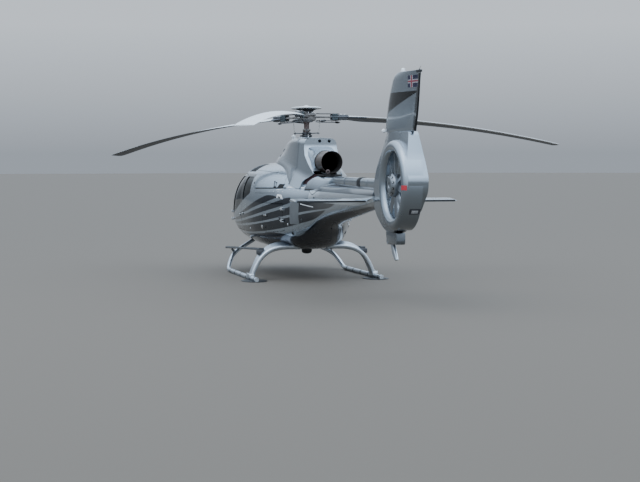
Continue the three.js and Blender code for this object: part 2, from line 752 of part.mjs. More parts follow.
// A flat vane from an inner to an outer radius, turned about its own axis, in the fan's plane
function fanVane(angle, inner, outerRadius, chord, thickness, pitch, y) {
  const vane = new THREE.BoxGeometry(outerRadius - inner, thickness, chord);
  vane.rotateX(pitch).translate((inner + outerRadius) / 2, 0, 0).rotateY(angle).translate(fanX, y, fanHeight);
  return solidOf(vane);
}

function buildFan() {
  const bladeCount = 10;
  const vaneCount = 9;
  const [bladeY, vaneY] = [150, -75];
  const hub = rod([fanX, 60, fanHeight], [fanX, 205, fanHeight], 175, 175, 24);
  const cap = rod([fanX, 203, fanHeight], [fanX, 250, fanHeight], 168, 118, 24);
  const blades = [];
  for (let i = 0; i < bladeCount; i++) {
    const angle = (i / bladeCount) * 2 * Math.PI + 0.2;
    blades.push(fanVane(angle, 150, fanTipRadius, 92, 12, THREE.MathUtils.degToRad(40), bladeY));
  }
  const shaft = rod([fanX, -90, fanHeight], [fanX, 70, fanHeight], 40, 40, 32);
  place("tail_fan_rotor", joined([hub, cap, shaft, ...blades]), "steel");
  const housing = rod([fanX, -175, fanHeight], [fanX, 16, fanHeight], 120, 160, 24);
  const vanes = [];
  for (let i = 0; i < vaneCount; i++) {
    const angle = (i / vaneCount) * 2 * Math.PI;
    vanes.push(fanVane(angle, 110, ductRadius + 10, 90, 14, THREE.MathUtils.degToRad(12), vaneY));
  }
  const bore = rod([fanX, -96, fanHeight], [fanX, 30, fanHeight], shaftBore, shaftBore, 32);
  const stator = joined([housing, ...vanes]).intersect(ductRod(ductRadius - fitGap)).subtract(bore);
  place("tail_fan_stator", stator, "silver_paint");
}

// A lens-shaped aerofoil between two chord lines, each given as leading x, trailing x,
// height z, spanwise y and thickness; up is +Z for a flat surface and +Y for an upright one
function foilRing(leadX, trailX, thickness, point) {
  const shares = [0, 0.04, 0.14, 0.35, 0.65, 1];
  const heights = [0, 0.42, 0.8, 1, 0.72, 0.16];
  const ring = [];
  const half = thickness / 2;
  const place = (i, side) => point(leadX + (trailX - leadX) * shares[i], side * half * heights[i]);
  for (let i = 0; i < shares.length; i++) ring.push(place(i, 1));
  for (let i = shares.length - 1; i > 0; i--) ring.push(place(i, -1));
  return ring;
}

function buildTailSurfaces() {
  // columns: height, leading x, trailing x, thickness
  const finTable = [
    [2700 + fitGap, -5585, -6905, 235],
    [2970, -5635, -7015, 210],
    [3200, -5715, -7075, 190],
    [3430, -5845, -7122, 165],
    [3540, -5945, -7150, 150],
    [3600, -6120, -7190, 120],
  ];
  const camber = 20; // the nose leans to the left
  const finRings = finTable.map(([z, lead, trail, thick]) =>
    foilRing(lead, trail, thick, (x, y) => [x, y + (camber * (x - trail)) / (lead - trail), z]),
  );
  // the anti-collision light stands on the fin's tip
  const light = rod([-6320, 8, 3560], [-6320, 8, 3625], 42, 42, 20).add(
    rod([-6320, 8, 3620], [-6320, 8, 3665], 34, 20, 20),
  );
  place("vertical_fin", loftedRings(finRings).add(light), "silver_paint");

  const skidHalf = 22;
  const skidSide = [[-5640, 1050], [-5770, 1050], [-5960, 790], [-6010, 715], [-5925, 700], [-5790, 800]];
  const ventralSide = [
    [-5610, 1150 - fitGap], [-6190, 1150 - fitGap], [-6195, 1010], [-6180, 965], [-5680, 945], [-5640, 975],
  ];
  const below = (top) => block(-6300, -5500, -100, 100, 0, top);
  const socketHalf = skidHalf + fitGap;
  const socket = sidePrism(shrunk(skidSide, -fitGap), -socketHalf, socketHalf).intersect(below(1020));
  place("ventral_fin", sidePrism(ventralSide, -72, 72, 18).subtract(socket), "silver_paint");
  const skid = sidePrism(skidSide, -skidHalf, skidHalf).intersect(below(1020 - fitGap));
  place("tail_skid", skid, "bare_metal");

  // columns: span y, leading x, trailing x, thickness
  const stabiliserTable = [
    [120, -4400, -4870, 62],
    [1300, -4400, -4870, 56],
    [1365, -4470, -4865, 40],
  ];
  const stabiliserHeight = 1612;
  const rings = stabiliserTable.map(([y, lead, trail, thick]) =>
    foilRing(lead, trail, thick, (x, z) => [x, y, stabiliserHeight + z - (x + 4400) * -0.03]),
  );
  const left = loftedRings(rings).subtract(fuselageBody(fitGap * -1));
  place("left_stabiliser", left, "silver_paint");
  place("right_stabiliser", mirrored(left), "silver_paint");
}

// Landing gear
const skidY = skidTrack / 2;
const skidHeight = skidRadius + 6;
const skidRoute = [
  [-1000, skidY, skidHeight], [-300, skidY, skidHeight], [700, skidY, skidHeight], [1500, skidY, skidHeight],
  [1680, skidY, skidHeight + 4], [1800, skidY - 20, 100], [1900, skidY - 65, 195], [2030, skidY - 145, 310],
  [2190, skidY - 265, 395], [2400, skidY - 400, 448], [2520, skidY - 530, 505], [2570, skidY - 660, 575],
  [2590, skidY - 760, 640],
];
// columns: across, height
const legRoute = [
  [300, 625], [480, 640], [640, 632], [800, 590], [930, 510], [1030, 400], [1105, 265], [1160, 150], [1180, 95],
];
const legX = -430;

function buildGear() {
  const skin = fuselageBody(-fitGap);
  const tube = swept(skidRoute, skidRadius, skidRadius, 10, 44).subtract(skin);
  const wearPlate = block(-960, 1450, skidY - 30, skidY + 30, 0, 16);
  const snowPad = rod([0, 0, 0], [0, 0, 12], 1, 1, 20).scale([350, 238, 1]).translate([-700, skidY - 25, 0]);
  const skid = joined([tube, wearPlate, snowPad]);
  place("left_skid", skid, "bare_metal");
  place("right_skid", mirrored(skid), "bare_metal");

  const tubeTop = skidHeight + skidRadius;
  const band = sweptBand(legRoute.map(([across, z]) => [legX - across * 0.03, across, z]), 130, 46);
  const foot = block(legX - 150, legX + 90, skidY - 45, skidY + 45, tubeTop + fitGap, tubeTop + 60);
  const below = block(-1200, 400, 0, 1400, -100, tubeTop + fitGap);
  const clamp = block(legX - 60, legX + 60, 900, 1050, 470, 590);
  const leg = largest(band.subtract(below).add(foot).subtract(skin).add(clamp).subtract(stepBar(fitGap)));
  place("left_rear_leg", leg, "bare_metal");
  place("right_rear_leg", mirrored(leg), "bare_metal");

  const post = block(2085, 2145, 930, 1090, 330, 450).subtract(
    swept(skidRoute, skidRadius + fitGap, skidRadius + fitGap, 10, 44),
  );
  const step = stepBar(0).add(largest(post));
  place("left_step", step, "dark_metal");
  place("right_step", mirrored(step), "dark_metal");

  const pad = rod([0, 0, padHeight], [0, 0, 600], 100, 100, 24).subtract(skin);
  place("belly_hook_pad", pad, "black_parts");
}

// The boarding step, a flat bar from the rear leg to past the front one, falling forward
function stepBar(extra) {
  const bar = new THREE.BoxGeometry(stepLength + 2 * extra, 90 + 2 * extra, 36 + 2 * extra);
  bar.rotateY(THREE.MathUtils.degToRad(2.6)).rotateZ(THREE.MathUtils.degToRad(1.4));
  return solidOf(bar.translate(legX - 40 + stepLength / 2, 1022, 512));
}

// A flat fairing swept through points in the YZ plane, wide along X
function sweptBand(points, halfChord, halfThickness) {
  const rings = points.map((p, i) => {
    const before = points[Math.max(0, i - 1)];
    const after = points[Math.min(points.length - 1, i + 1)];
    const along = new THREE.Vector2(after[1] - before[1], after[2] - before[2]).normalize();
    const corners = [
      [1, 0.25], [0.6, 1], [-0.6, 1], [-1, 0.25], [-1, -0.25], [-0.6, -1], [0.6, -1], [1, -0.25],
    ];
    return corners.map(([dx, side]) => [
      p[0] + dx * halfChord,
      p[1] - along.y * side * halfThickness,
      p[2] + along.x * side * halfThickness,
    ]);
  });
  return loftedRings(rings);
}

// The rotor turns about a mast that leans forward; its own frame has the hub's middle at zero
function buildRotor() {
  const rotor = new THREE.Group();
  rotor.position.z = hubHeight;
  rotor.rotation.y = rotorTilt;
  airframe.add(rotor);
  // the mast, with the tilting ring that the pitch links stand on
  const mast = rod([0, 0, mastBaseTop + 12 - hubHeight], [0, 0, -76], mastRadius, mastRadius, 20);
  const ring = rod([0, 0, -150], [0, 0, -108], 150, 165, 24);
  const stub = rod([0, 0, -434], [0, 0, -290], mastStub, mastStub, 32);
  place("rotor_mast", joined([mast, ring, stub]), "steel", rotor);
  const arms = bladeAzimuths.map((azimuth) => {
    const arm = new THREE.BoxGeometry(470, 150, 90).translate(235, 0, 0);
    return solidOf(arm.rotateZ(THREE.MathUtils.degToRad(azimuth)));
  });
  const centre = rod([0, 0, -75.7], [0, 0, 80], 190, 190, 24);
  place("rotor_hub", joined([centre, ...arms]), "black_parts", rotor);
  const dome = [
    [0, 235], [120, 226], [230, 195], [290, 158], [296, 145], [280, 145], [130, 165], [130, 80.3], [0, 80.3],
  ];
  const cap = new THREE.LatheGeometry(dome.map((p) => new THREE.Vector2(...p)), 28).rotateX(Math.PI / 2);
  place("hub_dome", solidOf(flipIfNeeded(cap)), "silver_paint", rotor);
  bladeAzimuths.forEach((azimuth, i) => {
    place(`main_blade_${i + 1}`, bladeSolid(azimuth), "blade_paint", rotor);
  });
}

// columns: radius, leading edge, trailing edge, thickness, twist in degrees
const bladeTable = [
  [480, -62, 62, 60, 8],
  [700, -70, 80, 58, 11],
  [950, -84, 190, 50, 11.5],
  [1250, -88, 262, 42, 11],
  [2000, -88, 262, 38, 8.6],
  [3000, -88, 262, 36, 5.6],
  [4000, -88, 262, 34, 2.9],
  [4900, -88, 262, 32, 0.8],
  [5200, -86, 262, 28, 0.2],
  [rotorRadius, -40, 262, 20, 0],
];

function bladeSolid(azimuth) {
  const rings = bladeTable.map(([radius, lead, trail, thick, twist]) => {
    const droop = -bladeDroop * ((radius - 400) / (rotorRadius - 400)) ** 2;
    const pitch = THREE.MathUtils.degToRad(twist);
    return foilRing(lead, trail, thick, (y, z) => [
      radius,
      y * Math.cos(pitch) + z * Math.sin(pitch),
      -y * Math.sin(pitch) + z * Math.cos(pitch) + droop,
    ]);
  });
  const blade = loftedRings(rings);
  const grip = solidOf(new THREE.BoxGeometry(470, 110, 24).translate(575, 0, 57.3)).add(
    solidOf(new THREE.BoxGeometry(470, 110, 24).translate(575, 0, -57.3)),
  );
  const plates = grip.subtract(solidOf(new THREE.BoxGeometry(90, 200, 91).translate(380, 0, 0)));
  const spacer = solidOf(new THREE.BoxGeometry(60, 110, 130).translate(560, 0, 0));
  return joined([blade, plates, spacer]).rotate([0, 0, azimuth]);
}

// Seats, console and the pilot's stick, all standing on the floor
const onFloor = floorTop + fitGap;
const frontSeat = [
  [1480, onFloor], [1990, onFloor], [2000, 1090], [2020, 1150], [1990, 1185], [1560, 1150], [1460, 1700],
  [1400, 1730], [1345, 1690], [1440, 1120],
];
const rearBench = [
  [300, onFloor], [840, onFloor], [870, 1130], [840, 1165], [430, 1130], [320, 1680], [270, 1710],
  [215, 1680], [300, 1120],
];
const consoleSide = [
  [2380, onFloor], [2760, onFloor], [2790, 1100], [2740, 1420], [2660, 1420], [2600, 1170],
];

function buildCabin() {
  place("left_front_seat", sidePrism(frontSeat, 170, 640), "leather");
  place("right_front_seat", sidePrism(frontSeat, -640, -170), "leather");
  place("rear_bench", sidePrism(rearBench, -590, 590), "leather");
  const panel = block(2640, 2730, -380, 380, 1150, 1440);
  place("instrument_console", sidePrism(consoleSide, -150, 150).add(panel), "black_parts");
  const stick = rod([2210, -400, onFloor + 8], [2180, -400, 1210], 16, 14, 10).add(
    rod([2180, -400, 1200], [2175, -400, 1330], 22, 20, 10),
  );
  const boot = rod([2210, -400, onFloor], [2210, -400, onFloor + 20], 50, 50, 12);
  place("cyclic_stick", stick.add(boot), "black_parts");
}

buildFuselage();
buildDoors();
buildGlass();
buildCowls();
buildEngine();
buildShaftCover();
buildShroud();
buildFan();
buildTailSurfaces();
buildGear();
buildRotor();
buildCabin();

export default helicopter;
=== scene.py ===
from math import copysign, cos, exp, hypot, log, pi, radians, sin, sqrt

import bpy
from mathutils import Matrix, Vector


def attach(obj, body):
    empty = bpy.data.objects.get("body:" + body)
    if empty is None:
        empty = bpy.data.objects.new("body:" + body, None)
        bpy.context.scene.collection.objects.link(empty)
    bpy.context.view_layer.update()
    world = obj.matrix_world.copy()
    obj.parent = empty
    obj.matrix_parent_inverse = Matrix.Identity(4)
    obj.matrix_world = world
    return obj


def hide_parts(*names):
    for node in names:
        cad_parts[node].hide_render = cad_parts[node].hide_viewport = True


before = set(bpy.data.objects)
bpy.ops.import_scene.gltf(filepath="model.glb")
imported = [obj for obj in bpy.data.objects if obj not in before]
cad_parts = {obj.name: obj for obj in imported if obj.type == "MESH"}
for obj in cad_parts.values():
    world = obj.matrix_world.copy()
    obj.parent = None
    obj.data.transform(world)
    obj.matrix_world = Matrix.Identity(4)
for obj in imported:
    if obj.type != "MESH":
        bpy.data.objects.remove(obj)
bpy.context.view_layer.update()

ground = -0.45  # the floor that the skids stand on; tables below give heights above it

def lift(x, y, z):
    return (x, y, z + ground)


# The camera stands behind the tail on its left, at a person's height on a step
cameraView = {
    "location": (-29.349, 7.066, 1.925),
    "forward": (0.9687, -0.2419, -0.0557),
    "right": (-0.2424, -0.9702, -0.0018),
    "lens": 88.6,
    "sensor": 36,
}


def makeCamera(view):
    forward = Vector(view["forward"]).normalized()
    right = Vector(view["right"])
    right = (right - forward * right.dot(forward)).normalized()
    up = right.cross(forward)
    turn = Matrix((right, up, -forward)).transposed()
    lens = bpy.data.cameras.new("viewCamera")
    lens.lens = view["lens"]
    lens.sensor_width = view["sensor"]
    lens.clip_end = 400
    camera = bpy.data.objects.new("viewCamera", lens)
    camera.matrix_world = Matrix.Translation(view["location"]) @ turn.to_4x4()
    bpy.context.scene.collection.objects.link(camera)
    bpy.context.scene.camera = camera


makeCamera(cameraView)


# Working by hand: one piece selected, one operator at a time
def clearSelection():
    if bpy.context.object and bpy.context.object.mode != "OBJECT":
        bpy.ops.object.mode_set(mode="OBJECT")
    bpy.ops.object.select_all(action="DESELECT")


def pick(*pieces):
    clearSelection()
    for piece in pieces:
        piece.select_set(True)
    bpy.context.view_layer.objects.active = pieces[0]


def begin(name, add, **settings):
    clearSelection()
    add(**settings)
    piece = bpy.context.object
    piece.name = name
    piece.data.name = name
    return piece


def editing(piece, *steps):
    pick(piece)
    bpy.ops.object.mode_set(mode="EDIT")
    for step in steps:
        step()
    bpy.ops.object.mode_set(mode="OBJECT")


def selectAll():
    bpy.ops.mesh.select_all(action="SELECT")


def mergeDoubles(distance=1e-5):
    selectAll()
    bpy.ops.mesh.remove_doubles(threshold=distance)


def fillEnds():
    bpy.ops.mesh.select_mode(type="EDGE")
    bpy.ops.mesh.select_all(action="DESELECT")
    bpy.ops.mesh.select_non_manifold()
    bpy.ops.mesh.fill_holes(sides=0)


def faceOut():
    selectAll()
    bpy.ops.mesh.normals_make_consistent(inside=False)


def modify(piece, kind, **settings):
    pick(piece)
    modifier = piece.modifiers.new(kind, kind)
    for key, value in settings.items():
        setattr(modifier, key, value)
    bpy.ops.object.modifier_apply(modifier=modifier.name)


def settle(piece):
    pick(piece)
    bpy.ops.object.transform_apply(location=True, rotation=True, scale=True)


def combine(piece, tool, how, keep):
    modify(piece, "BOOLEAN", operation=how, object=tool, solver="MANIFOLD")
    if not keep:
        bpy.data.objects.remove(tool)
    return piece


def cut(piece, tool, keep=False):
    return combine(piece, tool, "DIFFERENCE", keep)


def keepIn(piece, tool):
    return combine(piece, tool, "INTERSECT", False)


def joinTo(piece, tool):
    return combine(piece, tool, "UNION", False)


def discard(*pieces):
    for piece in pieces:
        bpy.data.objects.remove(piece)


def copyOf(piece, name):
    twin = piece.copy()
    twin.data = piece.data.copy()
    twin.name = name
    twin.data.name = name
    bpy.context.scene.collection.objects.link(twin)
    return twin


def mirror(piece, name):
    twin = copyOf(piece, name)
    twin.data.transform(Matrix.Diagonal((1, -1, 1, 1)))
    twin.data.flip_normals()
    return twin


def moved(piece, matrix):
    piece.data.transform(matrix)
    return piece


def smooth(piece, degrees=32):
    pick(piece)
    bpy.ops.object.shade_smooth_by_angle(angle=radians(degrees), keep_sharp_edges=False)
    return piece


def bevelEdges(piece, width, segments=2, degrees=50):
    modify(
        piece, "BEVEL", width=width, segments=segments, limit_method="ANGLE",
        angle_limit=radians(degrees), harden_normals=False,
    )
    return piece


def joined(name, pieces):
    pick(*pieces)
    bpy.ops.object.join()
    pieces[0].name = name
    pieces[0].data.name = name
    return pieces[0]


# a grid wrapped round a row of sections, with its seam merged and its ends filled
def wrap(name, rings, ends=True):
    rows, columns = len(rings), len(rings[0])
    piece = begin(name, bpy.ops.mesh.primitive_grid_add, x_subdivisions=columns, y_subdivisions=rows - 1, size=1)
    flat = [value for ring in rings for spot in (*ring, ring[0]) for value in spot]
    piece.data.vertices.foreach_set("co", flat)
    editing(piece, mergeDoubles, *([fillEnds] if ends else []), faceOut)
    return piece


# a flat outline drawn from a circle's points, then extruded straight
def outlineBlock(name, outline, start, depth, plane="side"):
    piece = begin(name, bpy.ops.mesh.primitive_circle_add, vertices=len(outline), radius=1, fill_type="NGON")
    place = {
        "side": lambda a, b: (a, start, b),
        "end": lambda a, b: (start, a, b),
        "flat": lambda a, b: (a, b, start),
    }[plane]
    step = {"side": (0, depth, 0), "end": (depth, 0, 0), "flat": (0, 0, depth)}[plane]
    for vertex, (a, b) in zip(piece.data.vertices, outline):
        vertex.co = place(a, b)
    editing(
        piece, selectAll, lambda: bpy.ops.mesh.extrude_region_move(TRANSFORM_OT_translate={"value": step}),
        faceOut,
    )
    return piece


def rounded(outline, radius, steps=5):
    points = []
    count = len(outline)
    for i, corner in enumerate(outline):
        here = Vector(corner)
        before = Vector(outline[i - 1]) - here
        after = Vector(outline[(i + 1) % count]) - here
        reach = min(radius, before.length / 2.2, after.length / 2.2)
        start = here + before.normalized() * reach
        end = here + after.normalized() * reach
        for k in range(steps + 1):
            t = k / steps
            spot = start * (1 - t) ** 2 + here * 2 * t * (1 - t) + end * t * t
            points.append((spot.x, spot.y))
    return points


def rectangle(x0, x1, y0, y1, radius):
    return rounded([(x0, y0), (x1, y0), (x1, y1), (x0, y1)], radius)


# an outline drawn in by a gap, or by one for each edge; it runs anticlockwise
def shrunk(outline, gap):
    count = len(outline)
    gaps = gap if isinstance(gap, (list, tuple)) else [gap] * count
    starts, ways = [], []
    for i, point in enumerate(outline):
        way = (Vector(outline[(i + 1) % count]) - Vector(point)).normalized()
        starts.append(Vector(point) + Vector((-way.y, way.x)) * gaps[i])
        ways.append(way)
    made = []
    for i in range(count):
        a, b = i - 1, i
        between = starts[b] - starts[a]
        reach = (between.x * ways[b].y - between.y * ways[b].x) / (ways[a].x * ways[b].y - ways[a].y * ways[b].x)
        made.append(tuple(starts[a] + ways[a] * reach))
    return made


# the turn that lays an upright axis along another
def upTo(axis):
    return Vector((0, 0, 1)).rotation_difference(Vector(axis).normalized()).to_matrix()


def bar(name, start, end, radius, endRadius=None, sides=24, bevel=0):
    a, b = Vector(start), Vector(end)
    piece = begin(
        name, bpy.ops.mesh.primitive_cone_add, vertices=sides, radius1=radius,
        radius2=radius if endRadius is None else endRadius, depth=(b - a).length,
    )
    piece.data.transform(Matrix.Translation((a + b) / 2) @ upTo(b - a).to_4x4())
    if bevel:
        bevelEdges(piece, bevel)
    return piece


def box(name, low, high, bevel=0, segments=2):
    size = [h - l for l, h in zip(low, high)]
    middle = [(l + h) / 2 for l, h in zip(low, high)]
    piece = begin(name, bpy.ops.mesh.primitive_cube_add, size=1)
    piece.data.transform(Matrix.Translation(middle) @ Matrix.Diagonal((*size, 1)))
    if bevel:
        bevelEdges(piece, bevel, segments)
    return piece


# a half outline of radius and height, spun round an upright axis and then laid along another
def spun(name, profile, centre=(0, 0, 0), axis=(0, 0, 1), sides=48):
    turn, middle, angles = upTo(axis), Vector(centre), [2 * pi * j / sides for j in range(sides)]
    return wrap(name, [
        [tuple(turn @ Vector((r * cos(a), r * sin(a), h)) + middle) for a in angles] for r, h in profile
    ])


# a closed half outline spun right round, for a ring
def spunRing(name, profile, centre=(0, 0, 0), axis=(0, 0, 1), sides=64):
    turn, middle, angles = upTo(axis), Vector(centre), [2 * pi * (j % sides) / sides for j in range(sides + 1)]
    return wrap(name, [
        [tuple(turn @ Vector((r * cos(a), r * sin(a), h)) + middle) for r, h in profile] for a in angles
    ], ends=False)


def curvePoints(points, count):
    spots = [Vector(p) for p in points]
    padded = [spots[0] * 2 - spots[1], *spots, spots[-1] * 2 - spots[-2]]
    lengths = [0]
    for a, b in zip(spots, spots[1:]):
        lengths.append(lengths[-1] + (b - a).length)
    made = []
    for k in range(count):
        at = lengths[-1] * k / (count - 1)
        i = max(j for j in range(len(spots) - 1) if lengths[j] <= at + 1e-9)
        t = (at - lengths[i]) / max(1e-9, lengths[i + 1] - lengths[i])
        p0, p1, p2, p3 = padded[i : i + 4]
        made.append(
            0.5 * (2 * p1 + (p2 - p0) * t + (2 * p0 - 5 * p1 + 4 * p2 - p3) * t * t
                   + (3 * p1 - p0 - 3 * p2 + p3) * t ** 3)
        )
    return made


# a section carried along a line of points; the section is (sideways, upwards) pairs
def swept(name, points, section, up=(0, 0, 1), scales=None):
    rings = []
    for i, spot in enumerate(points):
        ahead = Vector(points[min(i + 1, len(points) - 1)]) - Vector(points[max(i - 1, 0)])
        ahead.normalize()
        side = ahead.cross(Vector(up)).normalized()
        above = side.cross(ahead).normalized()
        k = scales[i] if scales else 1
        rings.append([tuple(Vector(spot) + side * a * k + above * b * k) for a, b in section])
    return wrap(name, rings)


def circle(radius, sides=16, height=None):
    tall = radius if height is None else height
    return [(radius * cos(2 * pi * j / sides), tall * sin(2 * pi * j / sides)) for j in range(sides)]


def tube(name, points, radius, count=40, sides=16):
    return swept(name, curvePoints(points, count), circle(radius, sides))


def fit(piece, material, *nodes, body="airframe", slot=None):
    piece.data.materials.clear()
    piece.data.materials.append(material)
    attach(piece, body)
    slot or usualSlot[material.name]
    if nodes:
        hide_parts(*nodes)
    return piece


# a second finish on the faces that a test picks
def addFinish(piece, material, picks):
    piece.data.materials.append(material)
    for face in piece.data.polygons:
        if picks(face):
            face.material_index = len(piece.data.materials) - 1
    return piece


# Finishes
def hexColour(text):
    def toLinear(part):
        value = int(part, 16) / 255
        return value / 12.92 if value <= 0.04045 else ((value + 0.055) / 1.055) ** 2.4

    return (toLinear(text[0:2]), toLinear(text[2:4]), toLinear(text[4:6]), 1)


def addNode(tree, kind, inputs=None, **settings):
    node = tree.nodes.new(kind)
    for key, value in settings.items():
        setattr(node, key, value)
    for key, value in (inputs or {}).items():
        socket = node.inputs[key]
        if isinstance(value, bpy.types.NodeSocket):
            tree.links.new(value, socket)
        else:
            socket.default_value = value[:3] if socket.type == "VECTOR" else value
    return node


def newFinish(name, **shaderInputs):
    material = bpy.data.materials.new(name)
    material.use_nodes = True
    tree = material.node_tree
    shader = tree.nodes["Principled BSDF"]
    for key, value in shaderInputs.items():
        shader.inputs[key.replace("_", " ")].default_value = value
    return material, tree, shader


def spotIn(tree):
    return addNode(tree, "ShaderNodeTexCoord").outputs["Object"]


def axisOf(tree, vector, axis):
    return addNode(tree, "ShaderNodeSeparateXYZ", {0: vector}).outputs[axis]


def calc(tree, operation, a, b=0, c=0):
    return addNode(tree, "ShaderNodeMath", {0: a, 1: b, 2: c}, operation=operation).outputs[0]


# 1 where a value lies between two others
def inside(tree, value, low, high):
    return times(tree, above(tree, value, low), below(tree, value, high))


def mixed(tree, share, a, b):
    return addNode(tree, "ShaderNodeMix", {0: share, 6: a, 7: b}, data_type="RGBA").outputs[2]


def scaled(tree, colour, share):
    node = addNode(tree, "ShaderNodeVectorMath", {0: colour, "Scale": share}, operation="SCALE")
    return node.outputs[0]


def times(tree, a, b):
    return calc(tree, "MULTIPLY", a, b)


def above(tree, a, b):
    return calc(tree, "GREATER_THAN", a, b)


def below(tree, a, b):
    return calc(tree, "LESS_THAN", a, b)


def feed(shader, name, value):
    shader.id_data.links.new(value, shader.inputs[name])


def ramp(tree, value, low, high, toLow=0, toHigh=1):
    return addNode(tree, "ShaderNodeMapRange", {0: value, 1: low, 2: high, 3: toLow, 4: toHigh}).outputs[0]


def noise(tree, place, size, detail=4, roughness=0.5, stretch=(1, 1, 1)):
    spread = addNode(tree, "ShaderNodeMapping", {"Vector": place, "Scale": stretch}).outputs[0]
    return addNode(
        tree, "ShaderNodeTexNoise", {"Vector": spread, "Scale": 1 / size, "Detail": detail, "Roughness": roughness},
    ).outputs[0]


def bump(tree, shader, height, strength, distance):
    node = addNode(tree, "ShaderNodeBump", {"Height": height, "Strength": strength, "Distance": distance})
    feed(shader, "Normal", node.outputs[0])


# sizes in metres: the flake is drawn coarser than its real 0.05 mm so that it shows at all
paintWork = {"flake": 0.006, "peel": 0.004, "dustSize": 0.45, "dust": "8c8a84", "shade": 0.012}


# sprayed metallic base under a clear coat: small shifts of tone, faint orange peel, dusty low down
def finishPaint(tree, shader, colour, place, dirt):
    grain = noise(tree, place, paintWork["flake"], 2)
    broad = noise(tree, place, paintWork["dustSize"], 5, 0.6)
    tone = ramp(tree, grain, 0.3, 0.7, 1 - paintWork["shade"], 1 + paintWork["shade"])
    speckled = scaled(tree, colour, tone)
    height = axisOf(tree, place, 2)
    lowDust = times(tree, ramp(tree, height, 1.2, -0.2, 0, dirt), ramp(tree, broad, 0.35, 0.7))
    dusty = mixed(tree, lowDust, speckled, hexColour(paintWork["dust"]))
    feed(shader, "Base Color", dusty)
    rough = calc(tree, "ADD", ramp(tree, broad, 0.3, 0.75, 0.24, 0.28), times(tree, lowDust, 0.5))
    feed(shader, "Roughness", rough)
    bump(tree, shader, noise(tree, place, paintWork["peel"], 1), 0.01, 0.00005)


# painted shade: the colour is darkened towards the bottom, between two heights above ground
def paintFinish(name, colour, metallic=0.7, coat=0.5, dirt=0.08, shadeLow=1, rise=(1.15, 1.95)):
    material, tree, shader = newFinish(name, Metallic=metallic, Coat_Weight=coat, Coat_Roughness=0.06)
    place = spotIn(tree)
    shade = ramp(tree, axisOf(tree, place, 2), rise[0] + ground, rise[1] + ground, shadeLow, 1)
    base = scaled(tree, hexColour(colour), shade)
    finishPaint(tree, shader, base, place, dirt)
    return material


# livery: dark bands that taper forward and aft over a silver base; heights in metres above ground
livery = {
    "glazing": (-0.3, 1.805),  # slope and height of the lower edge of the dark band round the windows
    "surround": "20262b",
    "span": (-5.6, 2.8),
    "tall": 2.4,
    "silver": "9ea8b1",
    "bandDark": "1c2531",
    "bellyDark": "1e2736",
    # a painted highlight: the lighter band low on the boom's side
    "shelf": "e2e9ee",
    # painted shade: the darker band along the boom's top, beside the shaft cover
    "crown": "4e5358",
    "bands": [
        # colour, top edge, bottom edge
        ("bandDark", [(2.45, 1.075), (1.9, 1.13), (1.29, 1.225), (0.66, 1.368), (0.26, 1.483), (0.02, 1.547),
        (-0.14, 1.581), (-0.29, 1.585), (-0.42, 1.573), (-0.54, 1.555)],
         [(2.45, 1.065), (1.56, 1.165), (0.82, 1.257), (0.44, 1.334), (0.08, 1.41), (-0.22, 1.477), (-0.54, 1.55)]),
        ("bandDark", [(2.5, 1.03), (1.58, 1.125), (0.82, 1.212), (0.44, 1.278), (0.08, 1.35), (-0.22, 1.411),
        (-0.51, 1.473), (-0.72, 1.514), (-0.82, 1.54), (-1.02, 1.56)],
         [(2.5, 1.02), (1.64, 1.06), (0.84, 1.135), (0.44, 1.189), (0.08, 1.251), (-0.23, 1.307), (-0.52, 1.359),
          (-0.74, 1.4), (-1.02, 1.46)]),
        ("bandDark", [(2.6, 0.985), (1.7, 1.012), (0.85, 1.09), (0.45, 1.14), (0.08, 1.198), (-0.22, 1.248),
        (-0.52, 1.301), (-0.74, 1.337), (-1.02, 1.39), (-1.3, 1.46), (-1.6, 1.56), (-3.1, 1.6)],
         [(2.6, 0.975), (1.76, 0.965), (0.9, 1.013), (0.48, 1.044), (0.1, 1.082), (-0.21, 1.123), (-0.51, 1.167),
          (-0.73, 1.199),
          (-1.02, 1.241), (-1.31, 1.285), (-1.66, 1.328), (-2.1, 1.366), (-2.56, 1.4), (-2.86, 1.44), (-3.1, 1.5)]),
        ("bandDark", [(2.65, 0.93), (1.83, 0.931), (0.94, 0.966), (0.5, 1.003), (0.11, 1.045), (-0.21, 1.083),
        (-0.51, 1.124),
        (-0.72, 1.154), (-1.01, 1.196), (-1.38, 1.252), (-1.73, 1.298), (-2.14, 1.34), (-2.52, 1.373)],
         [(2.65, 0.86), (1.36, 0.83), (0.64, 0.858), (0.21, 0.885), (-0.14, 0.914), (-0.45, 0.95), (-0.98, 1.025),
          (-1.35, 1.09), (-1.76, 1.165), (-1.99, 1.22), (-2.34, 1.316), (-2.52, 1.372)]),
        ("bellyDark", [(2.8, 0.79), (1.52, 0.79), (0.72, 0.815), (0.27, 0.838), (-0.1, 0.868), (-0.35, 0.882),
        (-0.6, 0.873), (-0.8, 0.85), (-0.97, 0.838), (-1.14, 0.853), (-1.4, 0.94), (-1.76, 1.09), (-1.94, 1.155),
        (-2.14, 1.205), (-2.37, 1.247), (-2.6, 1.281), (-2.96, 1.326), (-3.31, 1.357), (-3.8, 1.4), (-4.5, 1.47),
        (-5.6, 1.6)], [(2.8, -0.2), (-5.6, -0.2)]),
    ],
}


def edgeHeight(tree, along, points):
    low, high = livery["span"]
    share = ramp(tree, along, low, high)
    curve = addNode(tree, "ShaderNodeFloatCurve", {"Value": share})
    line = curve.mapping.curves[0]
    spots = sorted(((x - low) / (high - low), z / livery["tall"]) for x, z in points)
    line.points[0].location = (max(0, spots[0][0]), max(0, spots[0][1]))
    line.points[1].location = (spots[-1][0], max(0, spots[-1][1]))
    for spot in spots[1:-1]:
        line.points.new(*spot)
    for point in line.points:
        point.handle_type = "AUTO_CLAMPED"
    curve.mapping.update()
    return times(tree, curve.outputs[0], livery["tall"])
